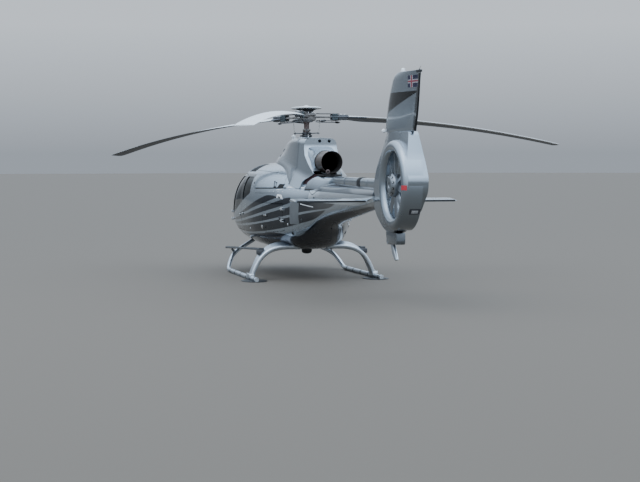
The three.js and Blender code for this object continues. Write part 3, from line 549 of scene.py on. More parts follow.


# the cabin and boom paint: metallic silver with the sprayed bands masked on it, a painted highlight low on the boom's
# side and painted shade along its top
def liveryFinish():
    material, tree, shader = newFinish("liveryPaint", Metallic=0.85, Coat_Weight=0.6, Coat_Roughness=0.05)
    place = spotIn(tree)
    along, height = axisOf(tree, place, 0), calc(tree, "SUBTRACT", axisOf(tree, place, 2), ground)
    colour = hexColour(livery["silver"])
    for shade, top, bottom in livery["bands"]:
        under = above(tree, edgeHeight(tree, along, top), height)
        over = above(tree, height, edgeHeight(tree, along, bottom))
        inSpan = below(tree, along, max(x for x, z in top))
        inSpan = times(tree, inSpan, above(tree, along, min(x for x, z in top) - 0.001))
        mask = times(tree, times(tree, under, over), inSpan)
        colour = mixed(tree, mask, colour, hexColour(livery[shade]))
    # a painted highlight on the boom's side, from 1.5 to 1.69 m above ground
    shelf = times(tree, inside(tree, along, -5.3, -1.7), inside(tree, height, 1.5, 1.69))
    colour = mixed(tree, times(tree, shelf, 0.6), colour, hexColour(livery["shelf"]))
    # painted shade along the boom's top, above 1.69 m
    crown = times(tree, inside(tree, along, -5.3, -1.9), above(tree, height, 1.69))
    colour = mixed(tree, times(tree, crown, 0.8), colour, hexColour(livery["crown"]))
    slope = calc(tree, "MULTIPLY_ADD", along, livery["glazing"][0], livery["glazing"][1])
    glazed = times(tree, above(tree, height, slope), below(tree, height, 1.962))
    glazed = times(tree, glazed, above(tree, along, 0.655))
    colour = mixed(tree, glazed, colour, hexColour(livery["surround"]))
    finishPaint(tree, shader, colour, place, 0.04)
    return material


# marks painted on the fin and the tail, as x and z above ground
finMarks = {
    "flag": {"x": (-7.085, -6.725), "z": (3.352, 3.53), "blue": "2b2f5a", "white": "e4e2ea", "red": "c4576b"},
    "wedge": [(-5.719, 2.949), (-7.1, 3.292), (-5.924, 3.297)],
    "wedgeColour": "16181a",
    # height and station of two spots on the inner side of each edge strip
    "trailing": ((2.7, -6.84), (3.55, -7.095), "LESS_THAN"),
    "leading": ((2.7, -5.63), (3.5, -5.94), "GREATER_THAN"),
    # the trailing strip is painted shade, the leading strip a painted highlight
    "edgeDark": "30363c",
    "edgeLight": "cfdbe0",
}


# the fin: the shroud's silver with a dark wedge, a bar of crossed stripes, painted shade along its trailing edge and a
# painted highlight along its leading edge
def finFinish():
    material, tree, shader = newFinish("finPaint", Metallic=0.85, Coat_Weight=0.6, Coat_Roughness=0.05)
    place = spotIn(tree)
    along, across = axisOf(tree, place, 0), axisOf(tree, place, 1)
    height = calc(tree, "SUBTRACT", axisOf(tree, place, 2), ground)
    colour = hexColour("939da6")
    (ax, az), (bx, bz), (_, cz) = finMarks["wedge"]
    wedge = below(tree, height, cz)
    slope = calc(tree, "MULTIPLY_ADD", along, (bz - az) / (bx - ax), az - ax * (bz - az) / (bx - ax))
    wedge = times(tree, wedge, above(tree, height, slope))
    colour = mixed(tree, wedge, colour, hexColour(finMarks["wedgeColour"]))
    # painted shade along the trailing edge, a painted highlight along the leading edge
    for edge, shade in ((finMarks["trailing"], "edgeDark"), (finMarks["leading"], "edgeLight")):
        (ez, ex), (fz, fx), way = edge
        line = calc(tree, "MULTIPLY_ADD", height, (fx - ex) / (fz - ez), ex - ez * (fx - ex) / (fz - ez))
        strip = calc(tree, way, along, line)
        strip = times(tree, strip, below(tree, height, 3.55))
        colour = mixed(tree, strip, colour, hexColour(finMarks[shade]))
    flag = finMarks["flag"]
    (x0, x1), (z0, z1) = flag["x"], flag["z"]
    left = above(tree, across, 0)
    block = times(tree, times(tree, inside(tree, along, x0, x1), inside(tree, height, z0, z1)), left)
    middle, upright = (z0 + z1) / 2, x1 - 0.13
    colour = mixed(tree, block, colour, hexColour(flag["blue"]))
    for shade, half, wide in (("white", 0.028, 0.045), ("red", 0.012, 0.02)):
        cross = calc(
            tree, "MAXIMUM", inside(tree, height, middle - half, middle + half),
            inside(tree, along, upright - wide, upright + wide)
        )
        colour = mixed(tree, times(tree, cross, block), colour, hexColour(flag[shade]))
    finishPaint(tree, shader, colour, place, 0.05)
    return material


liveryPaint = liveryFinish()
finPaint = finFinish()
silverPaint = paintFinish("silverPaint", "9ea8b1", 0.85, 0.6)
# the shroud's silver, darker towards the bottom by painted shade; the ventral fin and the fan's vanes share it
shroudPaint = paintFinish("shroudPaint", "959fa8", 0.9, 0.5, shadeLow=0.5)
# the exhaust deck's and shaft cover's silver, darkened by painted shade below 1.88 m above ground, most at 1.74 m and
# below
baseShadedPaint = paintFinish("silverWithPaintedShade", "9aa3ab", 0.85, 0.3, shadeLow=0.4, rise=(1.74, 1.88))
wingPaint = paintFinish("stabiliserPaint", "9ea8b1", 0.85, 0.6)
whitePaint = paintFinish("whitePaint", "d4d8da", 0, 0.4, 0.1)


# rotor blades: pale satin paint on top, dark grey below, both slightly chalky
def bladeFinish():
    material, tree, shader = newFinish("bladePaint", Metallic=0, Coat_Weight=0.15, Coat_Roughness=0.3)
    place = spotIn(tree)
    up = axisOf(tree, addNode(tree, "ShaderNodeNewGeometry").outputs["Normal"], 2)
    top = above(tree, up, 0)
    centre = lift(0, 0, 3.065)
    reach = addNode(tree, "ShaderNodeVectorMath", {0: place, 1: centre}, operation="SUBTRACT").outputs[0]
    reach = above(tree, addNode(tree, "ShaderNodeVectorMath", {0: reach}, operation="LENGTH").outputs["Value"], 0.84)
    top = times(tree, top, reach)
    streaks = ramp(tree, noise(tree, place, 0.08, 4), 0.3, 0.7, 0.92, 1.05)
    colour = mixed(tree, top, hexColour("4b4f55"), hexColour("d3d6d8"))
    colour = scaled(tree, colour, streaks)
    feed(shader, "Base Color", colour)
    feed(shader, "Roughness", ramp(tree, streaks, 0.9, 1.05, 0.42, 0.55))
    bump(tree, shader, noise(tree, place, 0.01, 2), 0.05, 0.001)
    return material


bladePaint = bladeFinish()


# metals: drawn or milled, with scratches along one way and stains in broad patches
def metal(name, colour, roughness=0.35, stain="6d6a64", stainShare=0.25, stretch=(1, 12, 12), scratch=0.004):
    material, tree, shader = newFinish(name, Metallic=1)
    place = spotIn(tree)
    lines = noise(tree, place, scratch * 6, 3, 0.6, stretch)
    broad = noise(tree, place, 0.12, 5, 0.6)
    stained = times(tree, ramp(tree, broad, 0.45, 0.75), stainShare)
    feed(shader, "Base Color", mixed(tree, stained, hexColour(colour), hexColour(stain)))
    feed(shader, "Roughness", ramp(tree, calc(tree, "ADD", lines, stained), 0.3, 1, roughness - 0.07, roughness + 0.15))
    bump(tree, shader, lines, 0.12, 0.0006)
    return material


skidMetal = metal("paintedAluminium", "c3cbd3", 0.38, "7d7a74", 0.3)
stepMetal = metal("anodisedAluminium", "6c6f73", 0.5, "45443f", 0.4)
rotorSteel = metal("machinedSteel", "8a8784", 0.4, "4e4236", 0.5)
agedSteel = metal("agedSteel", "6e6260", 0.5, "3d342c", 0.6)
castMetal = metal("castHousing", "5f6164", 0.55, "3a3634", 0.5)
brightSteel = metal("brightSteel", "d6d8da", 0.22, "8f8c86", 0.15)
fanSteel = metal("fanAlloy", "8e949a", 0.4, "55585c", 0.35)


# exhaust pipe: sheet steel blued and browned by heat, darker towards its underside
def burntFinish():
    material, tree, shader = newFinish("heatedSteel", Metallic=0.85)
    place = spotIn(tree)
    broad = noise(tree, place, 0.09, 6, 0.65)
    colour = mixed(tree, ramp(tree, broad, 0.35, 0.65), hexColour("6d6059"), hexColour("8f8780"))
    under = ramp(tree, axisOf(tree, place, 2), 2.34 + ground, 2.08 + ground)
    colour = mixed(tree, times(tree, under, 0.85), colour, hexColour("2c2320"))
    feed(shader, "Base Color", colour)
    feed(shader, "Roughness", ramp(tree, broad, 0.3, 0.7, 0.38, 0.6))
    bump(tree, shader, broad, 0.15, 0.001)
    return material


heatedSteel = burntFinish()


def plain(name, colour, roughness, metallic=0, grain=0.003, strength=0.15, tint=0.12, **more):
    material, tree, shader = newFinish(name, Metallic=metallic, **more)
    place = spotIn(tree)
    fine = noise(tree, place, grain, 3)
    tone = ramp(tree, noise(tree, place, grain * 25, 3), 0.3, 0.7, 1 - tint, 1 + tint)
    shaded = scaled(tree, hexColour(colour), tone)
    feed(shader, "Base Color", shaded)
    feed(shader, "Roughness", ramp(tree, fine, 0.3, 0.7, roughness - 0.05, roughness + 0.07))
    bump(tree, shader, fine, strength, 0.0006)
    return material


soot = plain("sootCoat", "1a1716", 0.9, grain=0.01)
rubber = plain("mouldedRubber", "141517", 0.75)
plastic = plain("mouldedPlastic", "1b1d20", 0.55)
hubGrey = plain("hubComposite", "787573", 0.45, 0.3, tint=0.25)
adapterRubber = plain("adapterRubber", "39454a", 0.6)
screenWire = plain("wovenScreen", "26282a", 0.6, 0.5, grain=0.002, strength=0.5)
compositeBlack = plain("carbonLayup", "25282c", 0.42, Coat_Weight=0.2)
cabinTrim = plain("cabinTrim", "4a4d50", 0.75, grain=0.003)
webbing = plain("harnessWebbing", "26282b", 0.9, grain=0.002, strength=0.4)
headliner = plain("headlinerCloth", "5b5e61", 0.9, grain=0.004)
carpet = plain("loopCarpet", "2c2e33", 0.97, grain=0.006, strength=0.5)
redPlate = plain("redEnamel", "b5303a", 0.45)
redOxide = plain("redOxidePrimer", "3d2328", 0.7, grain=0.01)
whiteMark = plain("whiteEnamel", "e6e7e8", 0.4)
darkMark = plain("charcoalEnamel", "33343a", 0.38, metallic=0.3)
ventDark = plain("ventShadow", "08090b", 0.85)
mattPatch = plain("wornMattPatch", "5c5f61", 0.6, grain=0.01)
lensClear = plain("clearLens", "dfe3e6", 0.1, grain=0.01, strength=0.02, Coat_Weight=0.8)
screenGlass = plain("displayGlass", "0d1216", 0.1, grain=0.02, strength=0.02, Coat_Weight=0.8)


# tinted acrylic: seen through, with a dark green cast and a hard shine
def glassFinish():
    material, tree, shader = newFinish(
        "tintedAcrylic", Metallic=0, Alpha=0.88, IOR=1.22, Coat_Weight=0.1, Coat_Roughness=0.02,
    )
    place = spotIn(tree)
    broad = noise(tree, place, 0.5, 3)
    colour = mixed(tree, ramp(tree, broad, 0.35, 0.7), hexColour("0c1011"), hexColour("151b1d"))
    feed(shader, "Base Color", colour)
    feed(shader, "Roughness", ramp(tree, broad, 0.3, 0.7, 0.03, 0.07))
    return material


cabinGlass = glassFinish()


# seat leather: soft grain of about 1.5 mm, drawn at 3 mm, darker in the creases
def leatherFinish():
    material, tree, shader = newFinish("seatLeather", Metallic=0, Coat_Weight=0.1, Coat_Roughness=0.4)
    place = spotIn(tree)
    cells = addNode(tree, "ShaderNodeTexVoronoi", {"Vector": place, "Scale": 1 / 0.003}).outputs[0]
    worn = noise(tree, place, 0.12, 4)
    colour = mixed(tree, ramp(tree, worn, 0.3, 0.7), hexColour("75695c"), hexColour("8f8271"))
    feed(shader, "Base Color", colour)
    feed(shader, "Roughness", ramp(tree, worn, 0.3, 0.7, 0.5, 0.62))
    bump(tree, shader, cells, 0.25, 0.0006)
    return material


seatLeather = leatherFinish()

# the slot that goes with each finish, unless a call names another
slotNames = {
    "silver_paint": [silverPaint, whitePaint, shroudPaint, baseShadedPaint, wingPaint, finPaint, liveryPaint, lensClear],
    "glass": [cabinGlass, screenGlass],
    "steel": [brightSteel, rotorSteel, agedSteel, castMetal, fanSteel],
    "bare_metal": [skidMetal],
    "dark_metal": [stepMetal],
    "black_parts": [rubber, plastic, soot, screenWire, ventDark, hubGrey, adapterRubber, carpet, headliner,
    redPlate, darkMark, mattPatch],
    "leather": [seatLeather, webbing, compositeBlack],
}
usualSlot = {finish.name: slot for slot, finishes in slotNames.items() for finish in finishes}

# the floor and the light
floorFinish, _, floorShader = newFinish("paleFloor", Roughness=0.85)
floorShader.inputs["Base Color"].default_value = hexColour("5c554c")
floor = begin("studioFloor", bpy.ops.mesh.primitive_circle_add, vertices=96, radius=160, fill_type="NGON",
        location=(0, 0, ground))
settle(floor)
floor.data.materials.append(floorFinish)


def makeLight():
    world = bpy.data.worlds.new("softSky")
    bpy.context.scene.world = world
    world.use_nodes = True
    tree = world.node_tree
    background = tree.nodes["Background"]
    height = axisOf(tree, addNode(tree, "ShaderNodeTexCoord").outputs["Generated"], 2)
    colour = mixed(tree, ramp(tree, height, 0, 0.08), hexColour("a0a8b2"), hexColour("dbe4ee"))
    colour = mixed(tree, ramp(tree, height, 0.1, 0.4), colour, (1.15, 1.38, 1.66, 1))
    colour = mixed(tree, ramp(tree, height, 0.4, 0.95), colour, (2.3, 2.7, 3.2, 1))
    around = addNode(tree, "ShaderNodeTexCoord").outputs["Generated"]
    behind = ramp(tree, axisOf(tree, around, 0), 0.2, -1, 1, 1.35)
    flag = times(tree, ramp(tree, axisOf(tree, around, 0), 0, 0.5), ramp(tree, axisOf(tree, around, 1), 0, 0.12))
    flag = times(tree, flag, ramp(tree, height, 0.27, 0.12))
    behind = times(tree, behind, calc(tree, "MULTIPLY_ADD", flag, -0.6, 1))
    colour = scaled(tree, colour, behind)
    tree.links.new(colour, background.inputs["Color"])
    background.inputs["Strength"].default_value = 1
    for name, spot, size, power in [
        ("overhead", (-6, 8, 14), 12, 420),
        ("leftRear", (-16, 16, 12), 9, 150),
        ("rightFill", (4, -18, 10), 10, 100),
    ]:
        lamp = bpy.data.lights.new(name, "AREA")
        lamp.shape, lamp.size, lamp.energy = "DISK", size, power
        holder = bpy.data.objects.new(name, lamp)
        aim = (Vector((0, 0, 1)) - Vector(spot)).normalized()
        holder.matrix_world = Matrix.Translation(spot) @ aim.to_track_quat("-Z", "Y").to_matrix().to_4x4()
        bpy.context.scene.collection.objects.link(holder)


makeLight()
print("camera, finishes, floor and light made")


# Fuselage sections, in metres above the ground: station, lowest, highest, half width,
# the height where it is widest, and how square its upper and lower halves are
hull = {
    "table": [
        (3.385, 1.12, 1.25, 0.07, 1.185, 2, 2), (3.345, 0.925, 1.43, 0.36, 1.18, 2, 2),
        (3.215, 0.785, 1.64, 0.59, 1.19, 2.1, 2.1), (2.96, 0.675, 1.855, 0.79, 1.205, 2.2, 2.3),
        (2.6, 0.598, 2.025, 0.925, 1.23, 2.4, 2.5), (2.15, 0.556, 2.135, 0.993, 1.26, 2.6, 2.7),
        (1.65, 0.534, 2.185, 1.013, 1.28, 2.9, 2.8), (1.15, 0.525, 2.2, 1.015, 1.29, 3, 2.9),
        (0.6, 0.525, 2.195, 0.982, 1.3, 3, 2.9), (0.1, 0.532, 2.165, 0.885, 1.305, 2.9, 2.9),
        (-0.4, 0.56, 2.09, 0.745, 1.32, 2.7, 2.9), (-0.9, 0.64, 1.985, 0.602, 1.34, 2.5, 2.8),
        (-1.4, 0.81, 1.905, 0.468, 1.38, 2.4, 2.6), (-1.9, 1.01, 1.868, 0.356, 1.45, 2.3, 2.3),
        (-2.5, 1.14, 1.855, 0.288, 1.505, 2.2, 2.1), (-3.3, 1.258, 1.848, 0.242, 1.555, 2.1, 2),
        (-4.3, 1.398, 1.842, 0.205, 1.622, 2, 2), (-5.4, 1.548, 1.838, 0.168, 1.695, 2, 2),
    ],
    "quarter": 26,  # points on each quarter of a section
    "wall": 0.045,
    "aftWall": 0.03,
    "glassDepth": 0.012,
    "glass": 0.008,
    "bulkhead": 0.15,
    "boomStart": -2,
    "boomEnd": -5.2,
    "floor": 0.8,
    "roofEdge": 1.975,
    "panelGap": 0.004,
    "doorGap": 0.007,
    "latchGap": 0.013,
}


# a row between a table's rows, eased from one to the next
def tableRow(table, x):
    last = len(table) - 1
    i = max(1, next((k for k, row in enumerate(table) if row[0] <= x), last))
    p0, p1, p2, p3 = (table[min(max(k, 0), last)] for k in (i - 2, i - 1, i, i + 1))
    span = p2[0] - p1[0]
    t = (x - p1[0]) / span
    made = [x]
    for k in range(1, len(p1)):
        slope1 = 0 if p2[0] == p0[0] else (p2[k] - p0[k]) / (p2[0] - p0[0]) * span
        slope2 = 0 if p3[0] == p1[0] else (p3[k] - p1[k]) / (p3[0] - p1[0]) * span
        made.append(
            (2 * t ** 3 - 3 * t ** 2 + 1) * p1[k] + (t ** 3 - 2 * t ** 2 + t) * slope1
            + (-2 * t ** 3 + 3 * t ** 2) * p2[k] + (t ** 3 - t ** 2) * slope2
        )
    return made


def hullSpot(x, angle, inset=0):
    _, low, high, half, wide, nTop, nBottom = tableRow(hull["table"], x)
    across, up = cos(angle), sin(angle)
    power = 2 / (nTop if up >= 0 else nBottom)
    tall = high - inset - wide if up >= 0 else wide - low - inset
    y = (half - inset) * copysign(abs(across) ** power, across)
    z = wide + tall * copysign(abs(up) ** power, up)
    return y, z + ground


# one section, its points evenly spaced along each quarter
def hullRing(x, inset=0):
    quarter, fine = hull["quarter"], 120
    shift = inset * 0.9 * max(0, min(1, (x - 2.4) / 0.7))
    ring = []
    for q in range(4):
        spots = [hullSpot(x, (q + k / fine) * pi / 2, inset) for k in range(fine + 1)]
        lengths = [0]
        for a, b in zip(spots, spots[1:]):
            lengths.append(lengths[-1] + hypot(b[0] - a[0], b[1] - a[1]))
        k = 0
        for n in range(quarter):
            at = lengths[-1] * n / quarter
            while lengths[k + 1] < at:
                k += 1
            t = (at - lengths[k]) / max(1e-9, lengths[k + 1] - lengths[k])
            y = spots[k][0] + (spots[k + 1][0] - spots[k][0]) * t
            z = spots[k][1] + (spots[k + 1][1] - spots[k][1]) * t
            ring.append((x - shift, y, z))
    return ring


def hullBody(name, inset, rear, front=4, step=0.045):
    stations = [3.385, 3.378, 3.368, 3.356, 3.34, 3.32, 3.295, 3.265, 3.235, 3.2]
    x = 3.16
    while x > hull["boomStart"] - 1e-6:
        stations.append(x)
        x -= step
    x = hull["boomStart"] - 0.08
    while x > -5.4:
        stations.append(x)
        x -= 0.1
    rings = [hullRing(x, inset) for x in stations if rear <= x <= front]
    rings = [ring for ring in rings if ring[0][1] > 0.012]
    return wrap(name, rings)


# the half width and the outward normal of the skin at a station and a height above ground
def skinAt(x, z, side=1, out=0):
    low, high = 0, pi / 2
    wide = tableRow(hull["table"], x)[4]
    upper = z >= wide
    for _ in range(30):
        middle = (low + high) / 2
        past = abs(hullSpot(x, middle if upper else -middle)[1] - ground - wide)
        low, high = (middle, high) if past < abs(z - wide) else (low, middle)
    angle = low if upper else -low
    y, up = hullSpot(x, angle)
    d = 0.01
    y1, z1 = hullSpot(x, angle + d)
    y2, z2 = hullSpot(x, angle - d)
    alongRing = Vector((0, y1 - y2, z1 - z2)).normalized()
    ya, za = hullSpot(x + d, angle)
    yb, zb = hullSpot(x - d, angle)
    alongBody = Vector((2 * d, ya - yb, za - zb)).normalized()
    normal = alongBody.cross(alongRing).normalized()
    if normal.y < 0:
        normal = -normal
    spot = Vector((x, y, up)) + normal * out
    if side < 0:
        spot.y, normal.y = -spot.y, -normal.y
    return spot, normal


def raised(outline):
    return [(x, z + ground) for x, z in outline]


def sideTool(outline, radius=0, start=0.3, end=1.25, gap=0, steps=5):
    shape = shrunk(outline, gap) if gap else outline
    shape = rounded(shape, radius, steps) if radius else shape
    return outlineBlock("tool", raised(shape), start, end - start)


outlines = {
    "frontDoor": [(1.33, 0.856), (2.4, 0.856), (2.49, 1.21), (1.93, 1.968), (1.33, 1.968)],
    "frontWindow": [(1.395, 1.385), (1.7, 1.3), (2.395, 1.145), (2.4, 1.23), (1.885, 1.92), (1.395, 1.92)],
    "rearDoor": [(0.43, 0.856), (1.27, 0.856), (1.27, 1.968), (0.43, 1.968)],
    "rearWindow": [(0.64, 1.61), (1.205, 1.44), (1.205, 1.92), (0.69, 1.92)],
    "baggageDoor": [(-0.76, 0.93), (0.03, 0.86), (0.03, 1.44), (-0.76, 1.44)],
    "windshield": [(2.566, 1.262), (3.6, 1.3), (3.6, 2.5), (1.64, 2.5)],
    "chin": [(2.64, 0.87), (3.6, 0.87), (3.6, 1.19), (2.6, 1.16)],
    "roofWindow": [(0.95, 1.986), (1.65, 1.986), (1.65, 2.3), (0.95, 2.3)],
    "nose": [(2.46, 0.7), (3.6, 0.7), (3.6, 2.5), (1.5, 2.5), (1.995, 1.968), (2.56, 1.21)],
}
windowRadius = 0.07


def boxTool(x0, x1, y0, y1, z0, z1):
    return box("tool", lift(x0, y0, z0), lift(x1, y1, z1))


def cutBothSides(piece, outline, **settings):
    tool = sideTool(outline, **settings)
    other = mirror(tool, "otherTool")
    cut(piece, tool)
    cut(piece, other)
    return piece


def buildHull():
    outer = hullBody("outerSkin", 0, -6)
    cabinOuter = keepIn(
        copyOf(outer, "cabinShell"), boxTool(hull["bulkhead"] + 0.001, 3.5, -1.2, 1.2, hull["floor"] + 0.001, 2.4)
    )
    room = hullBody("room", hull["wall"], -0.1)
    keepIn(room, boxTool(hull["bulkhead"] - 0.02, 3.5, -1.2, 1.2, hull["floor"] - 0.01, 2.4))
    shell = cut(cabinOuter, room)
    glass = hullBody("glassSkin", hull["glassDepth"], -0.1)
    cut(glass, hullBody("glassInside", hull["glassDepth"] + hull["glass"], -0.2))

    gap = hull["panelGap"]
    frontGaps = [hull["doorGap"]] * 4 + [hull["latchGap"]]
    doors = {"frontDoor": (frontGaps, "frontWindow"), "rearDoor": (hull["doorGap"], "rearWindow")}
    made = {}
    for key, (gaps, window) in doors.items():
        leaf = keepIn(copyOf(shell, key), sideTool(outlines[key], gap=gaps, radius=0.03))
        cut(leaf, sideTool(outlines[window], windowRadius))
        made[key] = leaf
        made[window] = keepIn(copyOf(glass, window), sideTool(outlines[window], windowRadius, gap=0.0006))
    slider = keepIn(copyOf(shell, "slidingDoor"), sideTool(outlines["rearDoor"], gap=0.003, radius=0.03))
    made["slidingDoor"] = cut(slider, sideTool(outlines["rearWindow"], windowRadius))

    opened = copyOf(shell, "openedShell")
    for key, radius, start in [
        ("frontDoor", 0.03, 0.3), ("rearDoor", 0.03, 0.3), ("windshield", 0, 0.032), ("chin", 0.06, 0.07),
    ]:
        cutBothSides(opened, outlines[key], radius=radius, start=start)
    cutBothSides(opened, outlines["roofWindow"], radius=0.03, start=0.5, end=0.8)
    noseTool = sideTool(outlines["nose"], start=-1.25, end=1.25)
    made["nose"] = keepIn(copyOf(opened, "noseFrame"), sideTool(outlines["nose"], start=-1.25, end=1.25, gap=0.002))
    behind = cut(opened, noseTool)
    made["roof"] = keepIn(
        copyOf(behind, "cabinRoof"), boxTool(hull["bulkhead"], 3.5, -1.25, 1.25, hull["roofEdge"], 2.4)
    )
    for side, low, high in [("left", 0.03, 1.25), ("right", -1.25, -0.03)]:
        made[side] = keepIn(
            copyOf(behind, side + "Frame"),
            boxTool(hull["bulkhead"], 3.5, low, high, hull["floor"], hull["roofEdge"] - 0.002),
        )
    made["windshield"] = keepIn(copyOf(glass, "windshield"), sideTool(outlines["windshield"], start=0.0325))
    made["chin"] = keepIn(copyOf(glass, "chin"), sideTool(outlines["chin"], 0.06, start=0.0705, gap=0.0006))
    made["roofWindow"] = keepIn(
        copyOf(glass, "roofWindow"), sideTool(outlines["roofWindow"], 0.03, start=0.5006, end=0.7994, gap=0.0006)
    )
    made["belly"] = keepIn(
        copyOf(outer, "bellyPan"), boxTool(hull["bulkhead"] + 0.001, 3.5, -1.2, 1.2, 0.2, hull["floor"])
    )
    aft = keepIn(
        copyOf(outer, "aftBody"), boxTool(hull["boomStart"] + 0.0015, hull["bulkhead"] - 0.001, -1.2, 1.2, 0.2, 2.4)
    )
    room = keepIn(
        hullBody("aftRoom", hull["aftWall"], -2.3, 0.4),
        boxTool(hull["boomStart"] - 0.05, hull["bulkhead"] - 0.03, -1.2, 1.2, 0.89, 2.4),
    )
    cut(aft, room)
    cutBothSides(aft, outlines["baggageDoor"], radius=0.04, start=0.2)
    made["aft"] = aft
    hatch = copyOf(outer, "baggageDoor")
    cut(hatch, hullBody("hatchInside", hull["aftWall"], -2.3, 0.6))
    made["baggageDoor"] = keepIn(hatch, sideTool(outlines["baggageDoor"], 0.04, start=0.2, gap=hull["doorGap"]))
    made["boom"] = keepIn(
        copyOf(outer, "boom"), boxTool(hull["boomEnd"], hull["boomStart"] - 0.0015, -1.2, 1.2, 0.2, 2.4)
    )
    discard(outer, shell, glass, behind)
    return made


panels = buildHull()
for part in panels.values():
    smooth(part, 30)
for key, node in [
    ("belly", "belly_pan"), ("nose", "nose_frame"), ("roof", "cabin_roof"), ("left", "left_side_frame"),
    ("right", "right_side_frame"), ("aft", "aft_fuselage"), ("boom", "tail_boom"),
]:
    fit(panels[key], liveryPaint, node, slot="dark_paint" if key in ("belly", "aft") else "silver_paint")
pairs = [
    # piece, left body, right body, material, slot, node ending
    ("frontDoor", "front_door_left", "front_door_right", liveryPaint, "silver_paint", "front_door"),
    ("frontWindow", "front_door_left", "front_door_right", cabinGlass, "glass", "front_door_window"),
    ("windshield", "airframe", "airframe", cabinGlass, "glass", "windshield"),
    ("chin", "airframe", "airframe", cabinGlass, "glass", "chin_window"),
    ("roofWindow", "airframe", "airframe", cabinGlass, "glass", "roof_window"),
    ("baggageDoor", "baggage_door_left", "baggage_door_right", liveryPaint, "dark_paint", "baggage_door"),
]
lined = [(panels["left"], 1), (panels["right"], -1), (panels["slidingDoor"], 1)]
for key, leftBody, rightBody, finish, slotName, node in pairs:
    twin = fit(mirror(panels[key], key + "Right"), finish, "right_" + node, body=rightBody, slot=slotName)
    fit(panels[key], finish, "left_" + node, body=leftBody, slot=slotName)
    if key == "frontDoor":
        lined += [(panels[key], 1), (twin, -1)]
twin = fit(mirror(panels["rearDoor"], "rearDoorRight"), liveryPaint, "right_rear_door", body="rear_door_right")
lined.append((twin, -1))
fit(mirror(panels["rearWindow"], "rearWindowRight"), cabinGlass, "right_rear_door_window", body="rear_door_right")
fit(panels["slidingDoor"], liveryPaint, "left_rear_door")
fit(panels["rearWindow"], cabinGlass, "left_rear_door_window")
discard(panels["rearDoor"])
# trim on the inside of the doors and side frames, cloth under the roof
for part, side in lined:
    addFinish(part, cabinTrim, lambda face: face.normal.y * side < -0.25)
addFinish(panels["roof"], headliner, lambda face: face.normal.z < -0.2)
addFinish(panels["nose"], cabinTrim, lambda face: face.normal.x < -0.2 and face.center.x > 1.5)
print("fuselage panels made")


# Cowls over the gearbox and engine, in metres above the ground
cowl = {
    "table": [
        # station, top, half width there, half width and height where the flank flares, base half width and height
        (1.78, 2.2, 0.06, 0.114, 2.065, 0.18, 1.9), (1.56, 2.33, 0.13, 0.22, 2.137, 0.33, 1.9),
        (1.25, 2.48, 0.19, 0.307, 2.219, 0.45, 1.9), (0.9, 2.585, 0.24, 0.366, 2.277, 0.52, 1.9),
        (0.45, 2.64, 0.285, 0.4, 2.28, 0.545, 1.9), (-0.1, 2.66, 0.335, 0.412, 2.22, 0.54, 1.88),
        (-0.5, 2.66, 0.358, 0.415, 2.15, 0.54, 1.85), (-0.85, 2.657, 0.352, 0.402, 2.06, 0.52, 1.78),
        (-1.06, 2.65, 0.312, 0.375, 2.01, 0.49, 1.74), (-1.35, 2.64, 0.272, 0.328, 1.96, 0.42, 1.72),
        (-1.64, 2.63, 0.23, 0.272, 1.94, 0.35, 1.7),
    ],
    "crown": 0.01,
    "shell": 0.02,
    "flankWall": 0.012,
    "split": -0.8,
    "seam": 0.005,
    # what is cut off behind the upright band: the slope above the pipe and the edge of the low flanks
    "rearCut": [(-2.5, 1.4), (-1.23, 1.4), (-1.27, 1.85), (-1.33, 1.89), (-1.6, 1.975), (-1.64, 2.005), (-1.56, 2.06),
        (-1.39, 2.17), (-1.18, 2.33), (-1.095, 2.5), (-1.095, 2.75), (-2.5, 2.75)],
    # under this line the flanks are open behind, and the casing shows
    "slotBay": [(-1, 1.3), (-1, 1.86), (-1.3, 1.93), (-1.45, 2.02), (-1.7, 2.08), (-1.7, 1.3)],
    # the bell that closes from the band to the pipe: station, half width, half height, squareness
    "bell": [(-1.062, 0.285, 0.285, 4.5), (-1.095, 0.285, 0.285, 4.5), (-1.18, 0.256, 0.258, 3.6),
        (-1.3, 0.23, 0.232, 2.6), (-1.48, 0.214, 0.214, 2)],
    "holes": [(0.014, 2.598), (-0.168, 2.598)],
    "holeRadius": 0.031,
}
pipe = {"height": 2.215, "radius": 0.195, "front": -1.32, "rear": -1.94, "wall": 0.005}


# a corner of an open line, drawn as a short curve that reaches the same way along both sides
def eased(before, corner, after, reach, steps=6):
    a, b, c = Vector(before), Vector(corner), Vector(after)
    start = b + (a - b).normalized() * min(reach, (a - b).length * 0.45)
    end = b + (c - b).normalized() * min(reach, (c - b).length * 0.45)
    shares = [k / steps for k in range(steps + 1)]
    return [tuple(start * (1 - t) ** 2 + b * 2 * t * (1 - t) + end * t * t) for t in shares]


def cowlRing(x, inset):
    _, top, half, side, sideHigh, base, low = tableRow(cowl["table"], x)
    top, half, side, base = top - inset, half - inset, side - inset, base - inset
    round_ = min(0.11 + max(0, x) * 0.09, (top - low) * 0.25, half * 0.9)
    low -= 0.2 if inset else 0
    spots = [(base, low), *eased((base, low), (side, sideHigh), (half, top - round_), 0.07)]
    for k in range(9):
        angle = k / 8 * pi / 2
        spots.append((half - round_ + round_ * cos(angle), top - round_ + round_ * sin(angle)))
    flat = half - round_
    spots += [(flat * (1 - k / 6), top + cowl["crown"] * (1 - (1 - k / 6) ** 2)) for k in range(1, 7)]
    left = [lift(x, y, z) for y, z in spots]
    return left + [(x, -y, z) for _, y, z in reversed(left[:-1])]


def cowlBody(name, inset, front, rear, step=0.04):
    count = max(2, int((front - rear) / step))
    return wrap(name, [cowlRing(front - (front - rear) * k / count, inset) for k in range(count + 1)])


